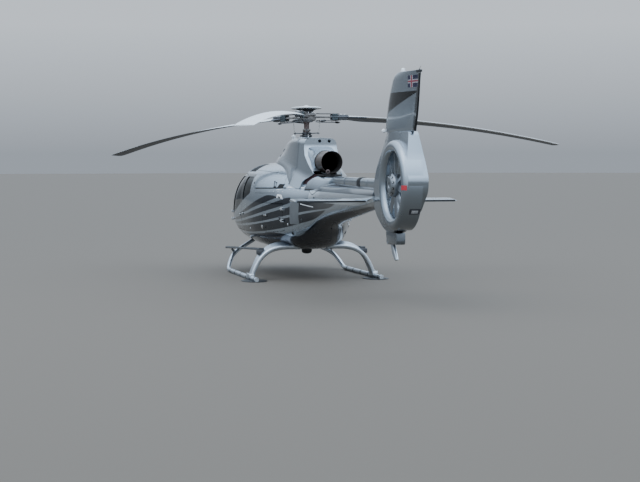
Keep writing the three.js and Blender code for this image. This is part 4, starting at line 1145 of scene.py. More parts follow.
def bellBody():
    rings = []
    for k in range(26):
        x = -1.062 - 0.418 * k / 25
        _, wide, high, power = tableRow(cowl["bell"], x)
        ring = []
        for j in range(96):
            c, s = cos(2 * pi * j / 96), sin(2 * pi * j / 96)
            y = wide * copysign(abs(c) ** (2 / power), c)
            ring.append((x, y, pipe["height"] + ground + high * copysign(abs(s) ** (2 / power), s)))
        rings.append(ring)
    return wrap("bell", rings)


# quarter-turn studs: one is modelled, the rest are copies set on the surface
def studRow(name, spots, radius=0.009, height=0.003):
    first = spun(
        "stud", [(radius, -0.002), (radius, height * 0.5), (radius * 0.8, height), (0.0004, height)], sides=12
    )
    cut(first, box("slot", (-radius * 0.7, -0.0012, height * 0.5), (radius * 0.7, 0.0012, height * 2)))
    made = []
    for spot, normal in spots:
        made.append(moved(copyOf(first, name), Matrix.Translation(spot) @ upTo(normal).to_4x4()))
    discard(first)
    return smooth(joined(name, made), 30)


def pipeTool(front, rear, radius=0.203):
    high = pipe["height"] + ground
    return bar("pipeTool", (front, 0, high), (rear, 0, high), radius, sides=72)


def buildCowls():
    shellBody = cowlBody("cowlShell", 0, 1.78, -1.64)
    cut(shellBody, cowlBody("cowlInside", cowl["shell"], 1.45, -1.05))
    flankInside = keepIn(cowlBody("flankInside", cowl["flankWall"], -1.106, -1.7),
        sideTool(cowl["slotBay"], start=-1.25))
    cut(shellBody, flankInside)
    cut(shellBody, sideTool(cowl["rearCut"], start=-1.25))
    skin = hullBody("skinTool", 0.004, -3, 2.4, 0.1)
    cut(shellBody, skin, keep=True)
    half = cowl["seam"] / 2
    front = keepIn(copyOf(shellBody, "gearboxCowl"), boxTool(cowl["split"] + half, 2, -1.2, 1.2, 1, 3.2))
    cut(front, bar("mastTool", (0, 0, 2.05), (0, 0, 2.4), 0.15, sides=48))
    rear = keepIn(shellBody, boxTool(-1.7, cowl["split"] - half, -1.2, 1.2, 1, 3.2))
    rear.name = "engineCowl"
    joinTo(rear, cut(bellBody(), skin))
    cut(rear, pipeTool(-1.04, -1.7))
    for y, z in cowl["holes"]:
        cut(rear, bar("holeTool", lift(-1.2, y, z), lift(-0.98, y, z), cowl["holeRadius"], sides=32))
    # side air intakes: a framed opening in the front cowl
    outline = raised(rounded([(0.62, 2.3), (1.06, 2.3), (1, 2.44), (0.66, 2.46)], 0.03))
    for side in (1, -1):
        cut(front, outlineBlock("intakeTool", outline, 0.1 * side, 0.7 * side))
    bevelEdges(front, 0.004)
    bevelEdges(rear, 0.004)
    screens = cowlBody("intakeScreen", cowl["shell"] - 0.004, 1.3, 0.3)
    cut(screens, cowlBody("screenInside", cowl["shell"] + 0.001, 1.4, 0.2))
    around = [(0.55, 2.26), (1.1, 2.26), (1.06, 2.48), (0.6, 2.49)]
    keepIn(screens, sideTool(around))
    cut(screens, boxTool(0.2, 1.4, -0.1, 0.1, 1.9, 2.7))
    fit(smooth(screens, 30), screenWire, "gearbox_cowl")
    return smooth(front, 30), smooth(rear, 30)


frontCowl, rearCowl = buildCowls()
fit(frontCowl, silverPaint, "gearbox_cowl")
fit(rearCowl, silverPaint, "engine_cowl")
print("cowls made")

# The fairing behind the engine cowl, under the pipe, in flat facets with soft edges
deck = {
    "table": [
        # station, shoulder height, shoulder half width, base half width
        (-1.29, 1.975, 0.31, 0.425), (-1.5, 1.972, 0.28, 0.382), (-1.7, 1.965, 0.235, 0.335),
        (-2, 1.95, 0.15, 0.26), (-2.26, 1.945, 0.088, 0.17),
    ],
    "front": [(-1, 2.3), (-1.76, 2.3), (-1.76, 2.1), (-1.7, 1.95), (-1.5, 1.85), (-1.46, 1.74), (-1.29, 1.4),
    (-1, 1.4)],
}


def buildDeck():
    rings = []
    for k in range(25):
        x = -1.29 - 0.97 * k / 24
        _, top, half, base = tableRow(deck["table"], x)
        side = [(base, 1.5), (base, 1.73), (half + 0.04, top - 0.06), (half, top - 0.012), (half - 0.05, top)]
        left = [lift(x, y, z) for y, z in side]
        rings.append(left + [(x, -y, z) for _, y, z in reversed(left)])
    piece = wrap("exhaustDeck", rings)
    cut(piece, sideTool(deck["front"], start=-1.25))
    cut(piece, hullBody("skinTool", 0.004, -3, 2.4, 0.1))
    cut(piece, pipeTool(-1, -2.4))
    bevelEdges(piece, 0.007, 3, 14)
    return smooth(piece, 20)


fit(buildDeck(), baseShadedPaint, "exhaust_deck")


# Exhaust: a rolled sheet pipe with a beaded mouth, and the outlet stub it slips over
def buildPipe():
    radius, wall, rear, front = pipe["radius"], pipe["wall"], pipe["rear"], pipe["front"]
    height = pipe["height"] + ground
    outside = [
        (0.1425, 0), (0.165, 0.006), (0.19, 0.035), (radius, 0.055), (radius, 0.2), (radius + 0.004, 0.204),
        (radius + 0.004, 0.212), (radius, 0.216), (radius, 0.56), (radius + 0.003, 0.6), (radius + 0.006, 0.612),
        (radius + 0.006, 0.62),
    ]
    inside = [
        (radius, 0.62), (radius - wall, 0.608), (radius - wall, 0.06), (0.185, 0.042), (0.16, 0.014), (0.1425, 0.008),
    ]
    return smooth(spunRing("exhaustPipe", outside + inside, (front, 0, height), (-1, 0, 0), 72), 30)


def facesPipeAxis(face):
    high = pipe["height"] + ground
    return face.normal.y * face.center.y + face.normal.z * (face.center.z - high) < -0.02


addFinish(fit(buildPipe(), heatedSteel, "exhaust_nozzle", slot="burnt_steel"), soot, facesPipeAxis)


def buildPipeParts():
    height = pipe["height"] + ground
    liner = spun(
        "pipeLiner",
        [(0.184, 0.3), (0.184, 0.05), (0.15, 0.02), (0.146, 0), (0.0005, 0), (0.0005, 0.004), (0.142, 0.006),
         (0.146, 0.024), (0.18, 0.056), (0.18, 0.3)],
        (-1.345, 0, height), (-1, 0, 0), 64,
    )
    fit(smooth(liner, 30), soot)
    sleeve = spunRing("pipeSleeve", [(0.2, -0.1), (0.2, 0.05), (0.204, 0.052), (0.222, 0.05), (0.222, -0.1)],
        (-1.32, 0, height), (-1, 0, 0), 64)
    fit(smooth(sleeve, 30), soot)
    # the flank's rounded rear corner on the right, beside the pipe, painted white as a painted highlight
    corner = outlineBlock(
        "flankCorner",
        raised(rounded([(-0.17, 2.075), (-0.2, 2.112), (-0.26, 2.098), (-0.307, 2.04), (-0.37, 1.95),
        (-0.19, 1.93)], 0.02)), -1.6, 0.3, "end",
    )
    bevelEdges(corner, 0.015, 3)
    fit(smooth(corner), whitePaint)
    # the dark bay under the pipe: a near-black tray with a drain port, its bracket and two hoses
    bay = outlineBlock(
        "pipeBay", raised([(-1.2, 1.86), (-1.9, 1.952), (-1.95, 1.972), (-1.8, 1.992), (-1.3, 1.992), (-1.2, 1.98)]),
        -0.2, 0.4,
    )
    cut(bay, pipeTool(-1.1, -2.1, 0.2))
    bevelEdges(bay, 0.006, 2, 40)
    fit(smooth(bay), soot)
    port = spun(
        "drainPort",
        [(0.016, -0.1), (0.016, -0.02), (0.024, -0.016), (0.036, -0.012), (0.038, 0), (0.036, 0.008), (0.026, 0.012),
         (0.02, 0.012), (0.018, -0.01), (0.0005, -0.012)],
        lift(-1.965, 0.08, 2.045), (-1, 0.1, 0.05), 32,
    )
    fit(smooth(port, 30), agedSteel)
    bracket = outlineBlock("portBracket", rounded([(0.03, 1.945), (0.13, 1.945), (0.115, 2.06), (0.045, 2.06)],
        0.02), -1.968, 0.012, "end")
    moved(bracket, Matrix.Translation((0, 0, ground)))
    fit(smooth(bevelEdges(bracket, 0.003)), soot, slot="steel")
    hoses = [
        [(-1.5, -0.02, 1.98), (-1.7, -0.03, 1.985), (-1.84, -0.05, 1.975), (-1.93, -0.07, 1.95)],
        [(-1.5, -0.12, 1.99), (-1.68, -0.13, 1.995), (-1.82, -0.12, 1.985), (-1.9, -0.1, 1.955)],
    ]
    for i, spots in enumerate(hoses):
        hose = tube(f"drainHose{i + 1}", [lift(x, y, z) for x, y, z in spots], 0.013, 24, 14)
        fit(smooth(hose), rubber)
    # the end of the engine's casing, seen through the slot between the cowl and the fairing
    casing = keepIn(
        cowlBody("firewall", 0.03, -1.15, -1.66),
        sideTool([(-1.17, 1.5), (-1.17, 1.86), (-1.45, 1.95), (-1.62, 1.99), (-1.62, 1.5)], start=-1.25)
    )
    cut(casing, hullBody("skinTool", 0.002, -3, 2.4, 0.1))
    fit(smooth(casing), redOxide, slot="steel")


buildPipeParts()


# Drive shaft cover along the boom, with its strap and the joints between its lengths
shaftCover = {
    "table": [
        # station, width share
        (-2.26, 1), (-2.9, 1), (-3.6, 1), (-4.4, 0.955), (-5.1, 0.92), (-5.19, 0.85),
    ],
    "section": [(0.088, 1.7), (0.088, 1.912), (0.066, 1.95), (0.03, 1.962)],
    "joints": [-3.1, -4.55],
    "strap": -4.03,
}


def coverRing(x, grow=0):
    share = tableRow(shaftCover["table"], x)[1]
    a, b, c, d = shaftCover["section"]
    line = [a, *eased(a, b, c, 0.018, 4), *eased(b, c, d, 0.014, 4), *eased(c, d, (0, 1.9645), 0.02, 3)]
    left = [lift(x, y * share + grow, z + grow) for y, z in line] + [lift(x, 0, 1.9645 + grow)]
    return left + [(x, -y, z) for _, y, z in reversed(left[:-1])]


def buildShaftCover():
    ends = [-2.262, *shaftCover["joints"], -5.19]
    made = []
    for i, (a, b) in enumerate(zip(ends, ends[1:])):
        a, b = a - 0.0015, b + 0.0015
        rings = [coverRing(a + (b - a) * k / 12) for k in range(13)]
        piece = wrap(f"shaftCover{i + 1}", rings)
        cut(piece, hullBody("skinTool", 0.004, -5.4, -1.9))
        bevelEdges(piece, 0.004)
        made.append(fit(smooth(piece), baseShadedPaint, "drive_shaft_cover"))
    at = shaftCover["strap"]
    strap = wrap("coverStrap", [coverRing(at + dx, 0.006) for dx in (0.085, 0.083, -0.083, -0.085)])
    cut(strap, wrap("strapTool", [coverRing(at + dx, 0.001) for dx in (0.1, -0.1)]))
    cut(strap, hullBody("skinTool", -0.002, -5.4, -1.9))
    fit(smooth(strap), rubber)


buildShaftCover()
print("pipe, deck and shaft cover made")


# Shrouded fan: outline as x, z; half thickness by height, and by station at the top
tail = {
    "outline": [
        (-5.2003, 1.52), (-5.33, 1.37), (-5.6, 1.19), (-5.74, 1.15), (-6.12, 1.15), (-6.3, 1.27), (-6.76, 1.5),
        (-7.06, 1.79), (-7.088, 1.97), (-6.93, 2.33), (-6.82, 2.7), (-5.66, 2.7), (-5.6, 2.6), (-5.42, 2.24),
        (-5.2003, 1.85),
    ],
    "thickness": [(2.72, 0.122), (2.35, 0.14), (1.985, 0.157), (1.6, 0.15), (1.3, 0.126), (1.1, 0.08)],
    "topPlan": [(-5, 0.014), (-5.4, 0.018), (-5.7, 0.068), (-6, 0.122), (-6.3, 0.116), (-6.8, 0.07), (-7.3, 0.024)],
    "planFrom": 1.985,
    "planTop": 2.72,
    "fan": (-6.385, 1.885),
    "duct": 0.5,
    "lip": 0.095,
    "lipOut": 0.14,
    "lipEnd": -0.07,
    "fanTip": 0.488,
}


def shroudHalf(x, z):
    slab = tableRow(tail["thickness"], min(z, 2.72))[1]
    share = max(0, min(1, (z - tail["planFrom"]) / (tail["planTop"] - tail["planFrom"])))
    plan = 0.2 + (tableRow(tail["topPlan"], x)[1] - 0.2) * share
    soft = 0.008
    return max(0.006, -soft * log(exp(-slab / soft) + exp(-plan / soft)))


def buildShroud():
    stations = [-5.15 - 0.05 * k for k in range(42)]
    rings = []
    for k in range(36):
        z = 1.08 + 0.0485 * k
        right = [(x, shroudHalf(x, z), z + ground) for x in stations]
        rings.append(right + [(x, -y, high) for x, y, high in reversed(right)])
    body = wrap("fanShroud", rings)
    keepIn(body, outlineBlock("outlineTool", raised(rounded(tail["outline"], 0.06)), -0.25, 0.5))
    bevelEdges(body, 0.022, 4)
    x, z = tail["fan"]
    lip, out, duct = tail["lip"], tail["lipOut"], tail["duct"]
    profile = [(duct + lip - lip * cos(k / 20 * pi), out + lip * sin(k / 20 * pi)) for k in range(21)]
    profile += [(duct + 2 * lip, tail["lipEnd"]), (duct, tail["lipEnd"])]
    joinTo(body, spunRing("lipTool", profile, lift(x, 0, z), (0, 1, 0), 128))
    cut(body, bar("ductTool", lift(x, -0.4, z), lift(x, 0.4, z), duct + 0.0005, sides=128))
    return smooth(body, 30)


fit(buildShroud(), shroudPaint, "tail_fan_shroud")


# an aerofoil section: chord from nose to tail, with its thickness at each share of the chord
def foilSection(lead, trail, thick, count=22, blunt=0.06):
    spots = []
    for k in range(count + 1):
        share = (1 - cos(pi * k / count)) / 2
        tall = 2.97 * sqrt(share) - 1.26 * share - 3.52 * share ** 2 + 2.84 * share ** 3 - 1.03 * share ** 4
        spots.append((lead + (trail - lead) * share, thick / 2 * max(tall, blunt if share > 0.5 else 0)))
    return spots + [(x, -h) for x, h in reversed(spots[1:])]


fin = {
    # height, leading edge, trailing edge, thickness
    "table": [(2.7003, -5.585, -6.905, 0.235), (2.97, -5.635, -7.015, 0.21), (3.2, -5.715, -7.075, 0.19),
        (3.43, -5.845, -7.122, 0.165), (3.54, -5.945, -7.15, 0.15), (3.6, -6.12, -7.19, 0.12)],
    "camber": 0.02,
    "ventral": [(-5.61, 1.1497), (-6.19, 1.1497), (-6.195, 1.01), (-6.18, 0.965), (-5.68, 0.945), (-5.64, 0.975)],
    "skid": [(-5.64, 1.0197), (-5.77, 1.0197), (-5.96, 0.79), (-6.01, 0.715), (-5.925, 0.7), (-5.79, 0.8)],
    "stabiliser": [(0.12, -4.4, -4.87, 0.062), (1.3, -4.4, -4.87, 0.056), (1.345, -4.43, -4.868, 0.05),
        (1.365, -4.475, -4.865, 0.034)],
    "stabiliserHeight": 1.612,
}


def buildFins():
    heights = [2.7003, 2.76, 2.83, 2.9, 2.97, 3.05, 3.125, 3.2, 3.28, 3.355, 3.43, 3.485, 3.54, 3.57, 3.59, 3.6]
    rows = [tableRow(sorted(fin["table"], reverse=True), z) for z in heights]
    rings = []
    for z, lead, trail, thick in rows:
        spots = foilSection(lead, trail, thick, 26, 0.16)
        rings.append([(x, h + fin["camber"] * (x - trail) / (lead - trail), z + ground) for x, h in spots])
    upright = wrap("verticalFin", rings)
    bevelEdges(upright, 0.012, 3)
    fit(smooth(upright, 40), finPaint, "vertical_fin")
    ventral = outlineBlock("ventralFin", raised(rounded(fin["ventral"], 0.018)), -0.072, 0.144)
    bevelEdges(ventral, 0.016, 3)
    fit(smooth(ventral, 40), shroudPaint, "ventral_fin")
    high = fin["stabiliserHeight"] + ground
    rings = [
        [(x, y, high + h + (x + 4.4) * 0.03) for x, h in foilSection(lead, trail, thick)]
        for y, lead, trail, thick in fin["stabiliser"]
    ]
    wing = wrap("leftStabiliser", rings)
    cut(wing, hullBody("skinTool", 0.002, -5.4, -3.9))
    smooth(wing, 40)
    fit(mirror(wing, "rightStabiliser"), wingPaint, "right_stabiliser")
    fit(wing, wingPaint, "left_stabiliser")
    rear = high - 0.47 * 0.03
    strip = box("leftTrimStrip", (-4.872, 0.19, rear - 0.016), (-4.866, 1.33, rear + 0.014), 0.001, 1)
    for piece in (mirror(strip, "rightTrimStrip"), strip):
        fit(piece, plastic)
    # tail skid: a flat strut with a worn foot
    skid = outlineBlock("tailSkid", raised(rounded(fin["skid"], 0.03)), -0.022, 0.044)
    bevelEdges(skid, 0.009, 3)
    fit(smooth(skid, 40), skidMetal, "tail_skid")


buildFins()

# the fan: blades twisted from root to tip, one modelled and turned round the hub
fan = {"blades": 10, "vanes": 9, "bladeY": 0.15, "vaneY": -0.075}


def fanVane(name, inner, outer, chord, thick, pitchInner, pitchOuter, y):
    rings = []
    for k in range(9):
        share = k / 8
        radius = inner + (outer - inner) * share
        pitch = radians(pitchInner + (pitchOuter - pitchInner) * share)
        ring = []
        for a, h in foilSection(-chord / 2, chord / 2, thick * (1 - 0.35 * share), 12, 0.1):
            across = a * cos(pitch) - h * sin(pitch)
            up = a * sin(pitch) + h * cos(pitch)
            ring.append((radius, up + y, across))
        rings.append(ring)
    return wrap(name, rings)


def turnedAbout(piece, name, angle, centre, axis="Y"):
    shift = Matrix.Translation(centre)
    return moved(copyOf(piece, name), shift @ Matrix.Rotation(angle, 4, axis))


def buildFan():
    x, z = tail["fan"]
    centre = Vector(lift(x, 0, z))
    blade = fanVane("fanBladeModel", 0.15, tail["fanTip"], 0.085, 0.012, 26, 11, fan["bladeY"])
    for i in range(fan["blades"]):
        piece = turnedAbout(blade, f"fanBlade{i + 1}", -(i / fan["blades"] * 2 * pi + 0.2), centre)
        fit(smooth(piece), fanSteel, "tail_fan_rotor", body="tail_rotor")
    discard(blade)
    hub = spun(
        "fanHub",
        [(0.04, -0.09), (0.04, 0.058), (0.16, 0.06), (0.172, 0.068), (0.175, 0.08), (0.175, 0.19), (0.171, 0.204),
         (0.164, 0.212), (0.128, 0.242), (0.116, 0.249), (0.07, 0.2505), (0.05, 0.249), (0.046, 0.238),
         (0.0005, 0.237)],
        centre, (0, 1, 0), 72,
    )
    fit(smooth(hub, 24), fanSteel, "tail_fan_rotor", body="tail_rotor")
    bolts, wells = [], []
    out = Vector((0, 1, 0))
    for i in range(10):
        angle = (i + 0.5) / 10 * 2 * pi
        way = Vector((cos(angle), 0, sin(angle)))
        spot = centre + way * 0.146
        face = (out + way * 0.85).normalized()
        wells.append(bar("well", spot + out * 0.226, spot + out * 0.226 + face * 0.0055, 0.018, sides=20, bevel=0.001))
        bolts.append(bar("bolt", spot + out * 0.228, spot + out * 0.228 + face * 0.011, 0.008, sides=6, bevel=0.001))
    fit(smooth(joined("fanHubWells", wells)), ventDark, body="tail_rotor")
    fit(smooth(joined("fanHubBolts", bolts)), brightSteel, body="tail_rotor")
    vane = fanVane("vaneModel", 0.11, tail["duct"] + 0.004, 0.09, 0.016, 14, 14, fan["vaneY"])
    for i in range(fan["vanes"]):
        piece = turnedAbout(vane, f"fanVane{i + 1}", -i / fan["vanes"] * 2 * pi, centre)
        fit(smooth(piece), shroudPaint, "tail_fan_stator")
    discard(vane)
    housing = spunRing(
        "fanHousing",
        [(0.042, -0.09), (0.042, 0.012), (0.155, 0.014), (0.16, 0.008), (0.158, -0.02), (0.15, -0.08), (0.13, -0.14),
         (0.118, -0.168), (0.11, -0.176), (0.02, -0.18), (0.02, -0.092)],
        centre, (0, 1, 0), 64,
    )
    fit(smooth(housing, 30), castMetal, "tail_fan_stator", slot="silver_paint")


buildFan()
print("tail made")


# Main rotor, drawn in its own frame: hub middle at zero, turning axis upright
rotor = {
    "hub": lift(0, 0, 3.065),
    "lean": radians(3),
    "radius": 5.345,
    "droop": 0.505,
    "azimuths": [34.7, -85.3, 154.7],
    "blade": [
        # radius, leading edge, trailing edge, thickness, twist in degrees
        (5.345, -0.04, 0.262, 0.02, 0), (5.338, -0.062, 0.262, 0.022, 0), (5.3, -0.078, 0.262, 0.025, 0.05),
        (5.2, -0.086, 0.262, 0.028, 0.2), (4.9, -0.088, 0.262, 0.032, 0.8),
        (4, -0.088, 0.262, 0.034, 2.9), (3, -0.088, 0.262, 0.036, 5.6), (2, -0.088, 0.262, 0.038, 8.6),
        (1.25, -0.088, 0.262, 0.042, 11), (0.95, -0.084, 0.19, 0.05, 11.5), (0.7, -0.07, 0.08, 0.058, 11),
        (0.48, -0.062, 0.062, 0.06, 8),
    ],
}
rotorFrame = Matrix.Translation(rotor["hub"]) @ Matrix.Rotation(rotor["lean"], 4, "Y")


def onRotor(piece, azimuth=0):
    return moved(piece, rotorFrame @ Matrix.Rotation(radians(azimuth), 4, "Z"))


def fitRotor(piece, material, *nodes, slot=None):
    return fit(smooth(piece, 30), material, *nodes, body="main_rotor", slot=slot)


def buildBlade():
    radii = [0.48, 0.52, 0.58, 0.64, 0.7, 0.76, 0.82, 0.88, 0.95, 1.03, 1.12, 1.2, 1.3]
    radii += [1.4 + 0.1 * k for k in range(38)] + [5.2, 5.24, 5.27, 5.3, 5.32, 5.335, 5.345]
    rings = []
    for radius in radii:
        _, lead, trail, thick, twist = tableRow(rotor["blade"], radius)
        droop = -rotor["droop"] * ((radius - 0.4) / (rotor["radius"] - 0.4)) ** 2
        pitch = radians(twist)
        ring = []
        for y, h in foilSection(lead, trail, thick, 20, 0.08):
            ring.append((radius, y * cos(pitch) + h * sin(pitch), -y * sin(pitch) + h * cos(pitch) + droop))
        rings.append(ring)
    return wrap("mainBladeModel", rings)


def buildBlades():
    model = buildBlade()
    model.data.materials.append(bladePaint)
    model.data.materials.append(brightSteel)
    for face in model.data.polygons:
        lead = tableRow(rotor["blade"], max(0.48, min(5.345, face.center.x)))[1]
        face.material_index = 1 if face.center.x > 1.2 and face.center.y < lead + 0.03 else 0
    for i, azimuth in enumerate(rotor["azimuths"]):
        blade = onRotor(copyOf(model, f"mainBlade{i + 1}"), azimuth)
        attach(blade, "main_rotor")
        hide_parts(f"main_blade_{i + 1}")
        smooth(blade, 40)
    discard(model)


buildBlades()

hubWork = {
    "sleeve": [(0.2, 0.045), (0.3, 0.062), (0.46, 0.06), (0.6, 0.05), (0.66, 0.045)],  # radius, half width
    "sleeveThick": 0.014,
    "sleeveHeight": 0.066,
    "adapter": (0.56, 0.11, 0.118),  # radius, length, height
    "pins": [0.7, 0.775],
}


# One arm of the head: a laminated star arm, the sleeve's two plates, the rubber adapter between
# them, the pins that hold the blade, and the horn that the pitch link turns
def buildArm():
    star = [(0.08, -0.09), (0.3, -0.055), (0.5, -0.05), (0.5, 0.05), (0.3, 0.055), (0.08, 0.09)]
    arm = outlineBlock("starArm", rounded(star, 0.03), -0.015, 0.03, "flat")
    bevelEdges(arm, 0.004)
    yield arm, hubGrey
    half = hubWork["sleeve"]
    outline = [(r, -w) for r, w in half] + [(r, w) for r, w in reversed(half)]
    for sign, label in ((1, "Upper"), (-1, "Lower")):
        low = sign * hubWork["sleeveHeight"] - hubWork["sleeveThick"] / 2
        plate = outlineBlock("sleeve" + label, rounded(outline, 0.03), low, hubWork["sleeveThick"], "flat")
        window = outlineBlock("window", rectangle(0.33, 0.44, -0.03, 0.03, 0.02), low - 0.1, 0.2, "flat")
        cut(plate, window)
        bevelEdges(plate, 0.003)
        yield plate, hubGrey
    at, length, height = hubWork["adapter"]
    layers = []
    for k in range(7):
        z = -height / 2 + height / 6.6 * k
        grow = 0.006 if k % 2 else 0
        layers.append(box("layer", (at - length / 2 - grow, -0.062 - grow, z),
            (at + length / 2 + grow, 0.062 + grow, z + height / 7.2), 0.003))
    core = box("core", (at - length / 2 + 0.006, -0.058, -height / 2 + 0.004),
        (at + length / 2 - 0.006, 0.058, height / 2 - 0.004))
    yield joined("adapterBlock", [core, *layers]), adapterRubber
    for k, r in enumerate(hubWork["pins"]):
        pin = spun(
            "bladePin", [(0.018, -0.066), (0.018, 0.05), (0.026, 0.051), (0.026, 0.058), (0.02, 0.063),
            (0.0005, 0.064)], (r, 0, 0), (0, 0, 1), 24,
        )
        yield pin, brightSteel
    for x in (0.525, 0.6):
        for y in (0.035, -0.035):
            yield bar("adapterBolt", (x, y, -0.082), (x, y, 0.082), 0.008, sides=12, bevel=0.001), rotorSteel
    root = box("bladeRoot", (0.64, -0.054, -0.05), (0.83, 0.054, 0.05), 0.012, 3)
    yield root, castMetal
    horn = tube("pitchHorn", [(0.34, -0.05, -0.07), (0.33, -0.12, -0.075), (0.26, -0.19, -0.085),
        (0.2, -0.215, -0.088)], 0.02, 16, 16)
    yield horn, castMetal
    link = tube("pitchLink", [(0.2, -0.215, -0.088), (0.185, -0.205, -0.2), (0.17, -0.195, -0.32)], 0.0085, 12, 14)
    yield link, brightSteel
    for spot in ((0.2, -0.215, -0.088), (0.17, -0.195, -0.32)):
        eye = spun("linkEye", [(0.0005, -0.014), (0.014, -0.014), (0.022, -0.008), (0.022, 0.008), (0.014, 0.014),
            (0.0005, 0.014)], spot, (0.7, 0.7, 0), 20)
        yield eye, rotorSteel
    finger = tube("dampingRod", [(0.2, 0.05, -0.085), (0.32, 0.06, -0.094), (0.6, 0.06, -0.096),
        (0.7, 0.05, -0.094)], 0.007, 24, 14)
    yield finger, castMetal
    weight = spun("rodWeight", [(0.0005, -0.048), (0.01, -0.044), (0.018, -0.014), (0.018, 0.02), (0.01, 0.044),
        (0.0005, 0.048)], (0.64, 0.056, -0.097), (1, 0, 0), 24)
    yield weight, rubber


armSlots = {"sleeveUpper": "silver_paint", "sleeveLower": "silver_paint", "bladeRoot": "blade_paint"}


def buildHead():
    for i, azimuth in enumerate(rotor["azimuths"]):
        for piece, finish in buildArm():
            piece.name = f"{piece.name}_arm{i + 1}"
            slot = armSlots.get(piece.name.split("_")[0])
            fitRotor(onRotor(piece, azimuth), finish, "rotor_hub", slot=slot)
    centre = spun(
        "hubCentre",
        [(0.06, -0.1), (0.11, -0.1), (0.13, -0.085), (0.17, -0.07), (0.185, -0.04), (0.185, -0.026), (0.15, -0.024),
         (0.15, 0.024), (0.185, 0.026), (0.185, 0.04), (0.17, 0.066), (0.12, 0.078), (0.1, 0.084), (0.0005, 0.086)],
        sides=64,
    )
    fitRotor(onRotor(centre), hubGrey, "rotor_hub")
    bolts = []
    for k in range(12):
        angle = k / 12 * 2 * pi
        spot = Vector((0.155 * cos(angle), 0.155 * sin(angle), 0.05))
        bolts.append(bar("bolt", spot, spot + Vector((0, 0, 0.035)), 0.01, sides=6, bevel=0.0015))
    fitRotor(onRotor(joined("hubBolts", bolts)), brightSteel)
    cap = spun(
        "domeCap",
        [(0.04, 0.151), (0.255, 0.149), (0.275, 0.15), (0.289, 0.154), (0.296, 0.163), (0.295, 0.171), (0.284, 0.178),
         (0.25, 0.184), (0.19, 0.19), (0.12, 0.197), (0.075, 0.203), (0.045, 0.212), (0.02, 0.222), (0.0005, 0.224)],
        sides=96,
    )
    fitRotor(onRotor(cap), whitePaint, "hub_dome")
    cone = spun(
        "domeCone",
        [(0.02, 0.08), (0.12, 0.08), (0.122, 0.095), (0.13, 0.11), (0.16, 0.13), (0.2, 0.146), (0.2, 0.152),
         (0.02, 0.154)],
        sides=64,
    )
    fitRotor(onRotor(cone), castMetal, "hub_dome", slot="black_parts")
    mast = spun(
        "rotorMast",
        [(0.04, -0.434), (0.04, -0.37), (0.05, -0.368), (0.05, -0.305), (0.056, -0.3), (0.056, -0.275), (0.05, -0.27),
         (0.05, -0.15), (0.055, -0.12), (0.064, -0.1), (0.07, -0.09), (0.0005, -0.088)],
        sides=48,
    )
    fitRotor(onRotor(mast), agedSteel, "rotor_mast")
    # the tilting ring, with three thin lugs for the pitch links
    ring = spunRing(
        "tiltingRing",
        [(0.06, -0.332), (0.082, -0.332), (0.09, -0.325), (0.09, -0.302), (0.08, -0.296), (0.06, -0.296)],
        sides=64,
    )
    lugs = [ring]
    for azimuth in rotor["azimuths"]:
        outline = [(0.085, -0.03), (0.195, -0.19), (0.185, -0.212), (0.155, -0.212), (0.03, -0.085)]
        lug = outlineBlock("lug", rounded(outline, 0.012), -0.324, 0.014, "flat")
        bevelEdges(lug, 0.003)
        lugs.append(moved(lug, Matrix.Rotation(radians(azimuth), 4, "Z")))
    fitRotor(onRotor(joined("tiltingRing", lugs)), castMetal, "rotor_mast")
    collar = spunRing(
        "driveCollar", [(0.055, -0.272), (0.07, -0.272), (0.075, -0.262), (0.075, -0.24), (0.068, -0.23),
        (0.055, -0.23)], sides=48,
    )
    fitRotor(onRotor(collar), rotorSteel)
    scissors = []
    for sign in (1, -1):
        scissors.append(tube("scissorUpper", [(0.07 * sign, 0.02, -0.25), (0.12 * sign, 0.03, -0.255),
            (0.15 * sign, 0.03, -0.275)], 0.011, 10, 12))
        scissors.append(tube("scissorLower", [(0.15 * sign, 0.03, -0.275), (0.125 * sign, 0.02, -0.3),
            (0.09 * sign, 0.01, -0.315)], 0.01, 10, 12))
    fitRotor(onRotor(joined("scissorLinks", scissors)), castMetal)


buildHead()


# What stands still under the head: the mast's conical housing, the fixed ring and its three jacks
def buildMastBase():
    lean = rotorFrame
    housing = spun(
        "mastHousing",
        [(0.145, -0.66), (0.145, -0.475), (0.136, -0.455), (0.1, -0.425), (0.078, -0.4), (0.072, -0.388),
         (0.0575, -0.386), (0.0575, -0.56), (0.0005, -0.56)],
        sides=48,
    )
    fit(smooth(moved(housing, lean), 30), wingPaint, slot="steel")
    ring = spunRing(
        "fixedRing", [(0.062, -0.378), (0.09, -0.378), (0.1, -0.37), (0.1, -0.348), (0.09, -0.34), (0.062, -0.34)],
        sides=64,
    )
    fit(smooth(moved(ring, lean), 30), castMetal)
    for i, azimuth in enumerate((60, 180, 300)):
        turn = lean @ Matrix.Rotation(radians(azimuth), 4, "Z")
        rod = tube("jackRod", [(0.12, 0, -0.36), (0.13, 0, -0.42), (0.138, 0, -0.48)], 0.01, 8, 14)
        body = bar("jackBody", (0.136, 0, -0.46), (0.15, 0, -0.6), 0.024, sides=24, bevel=0.003)
        eye = bar("jackEye", (0.12, -0.014, -0.36), (0.12, 0.014, -0.36), 0.017, sides=20, bevel=0.002)
        lug = box("jackLug", (0.085, -0.01, -0.37), (0.122, 0.01, -0.35), 0.003)
        for piece, finish in ((rod, brightSteel), (body, castMetal), (joined("jackEye", [eye, lug]), rotorSteel)):
            piece.name = f"{piece.name}{i + 1}"
            fit(smooth(moved(piece, turn), 30), finish, slot="steel")
    collar = spunRing(
        "cowlCollar", [(0.145, 2.203), (0.16, 2.203), (0.172, 2.215), (0.17, 2.226), (0.155, 2.23), (0.145, 2.226)],
        sides=64,
    )
    fit(smooth(collar, 30), silverPaint)


buildMastBase()
print("rotor made")


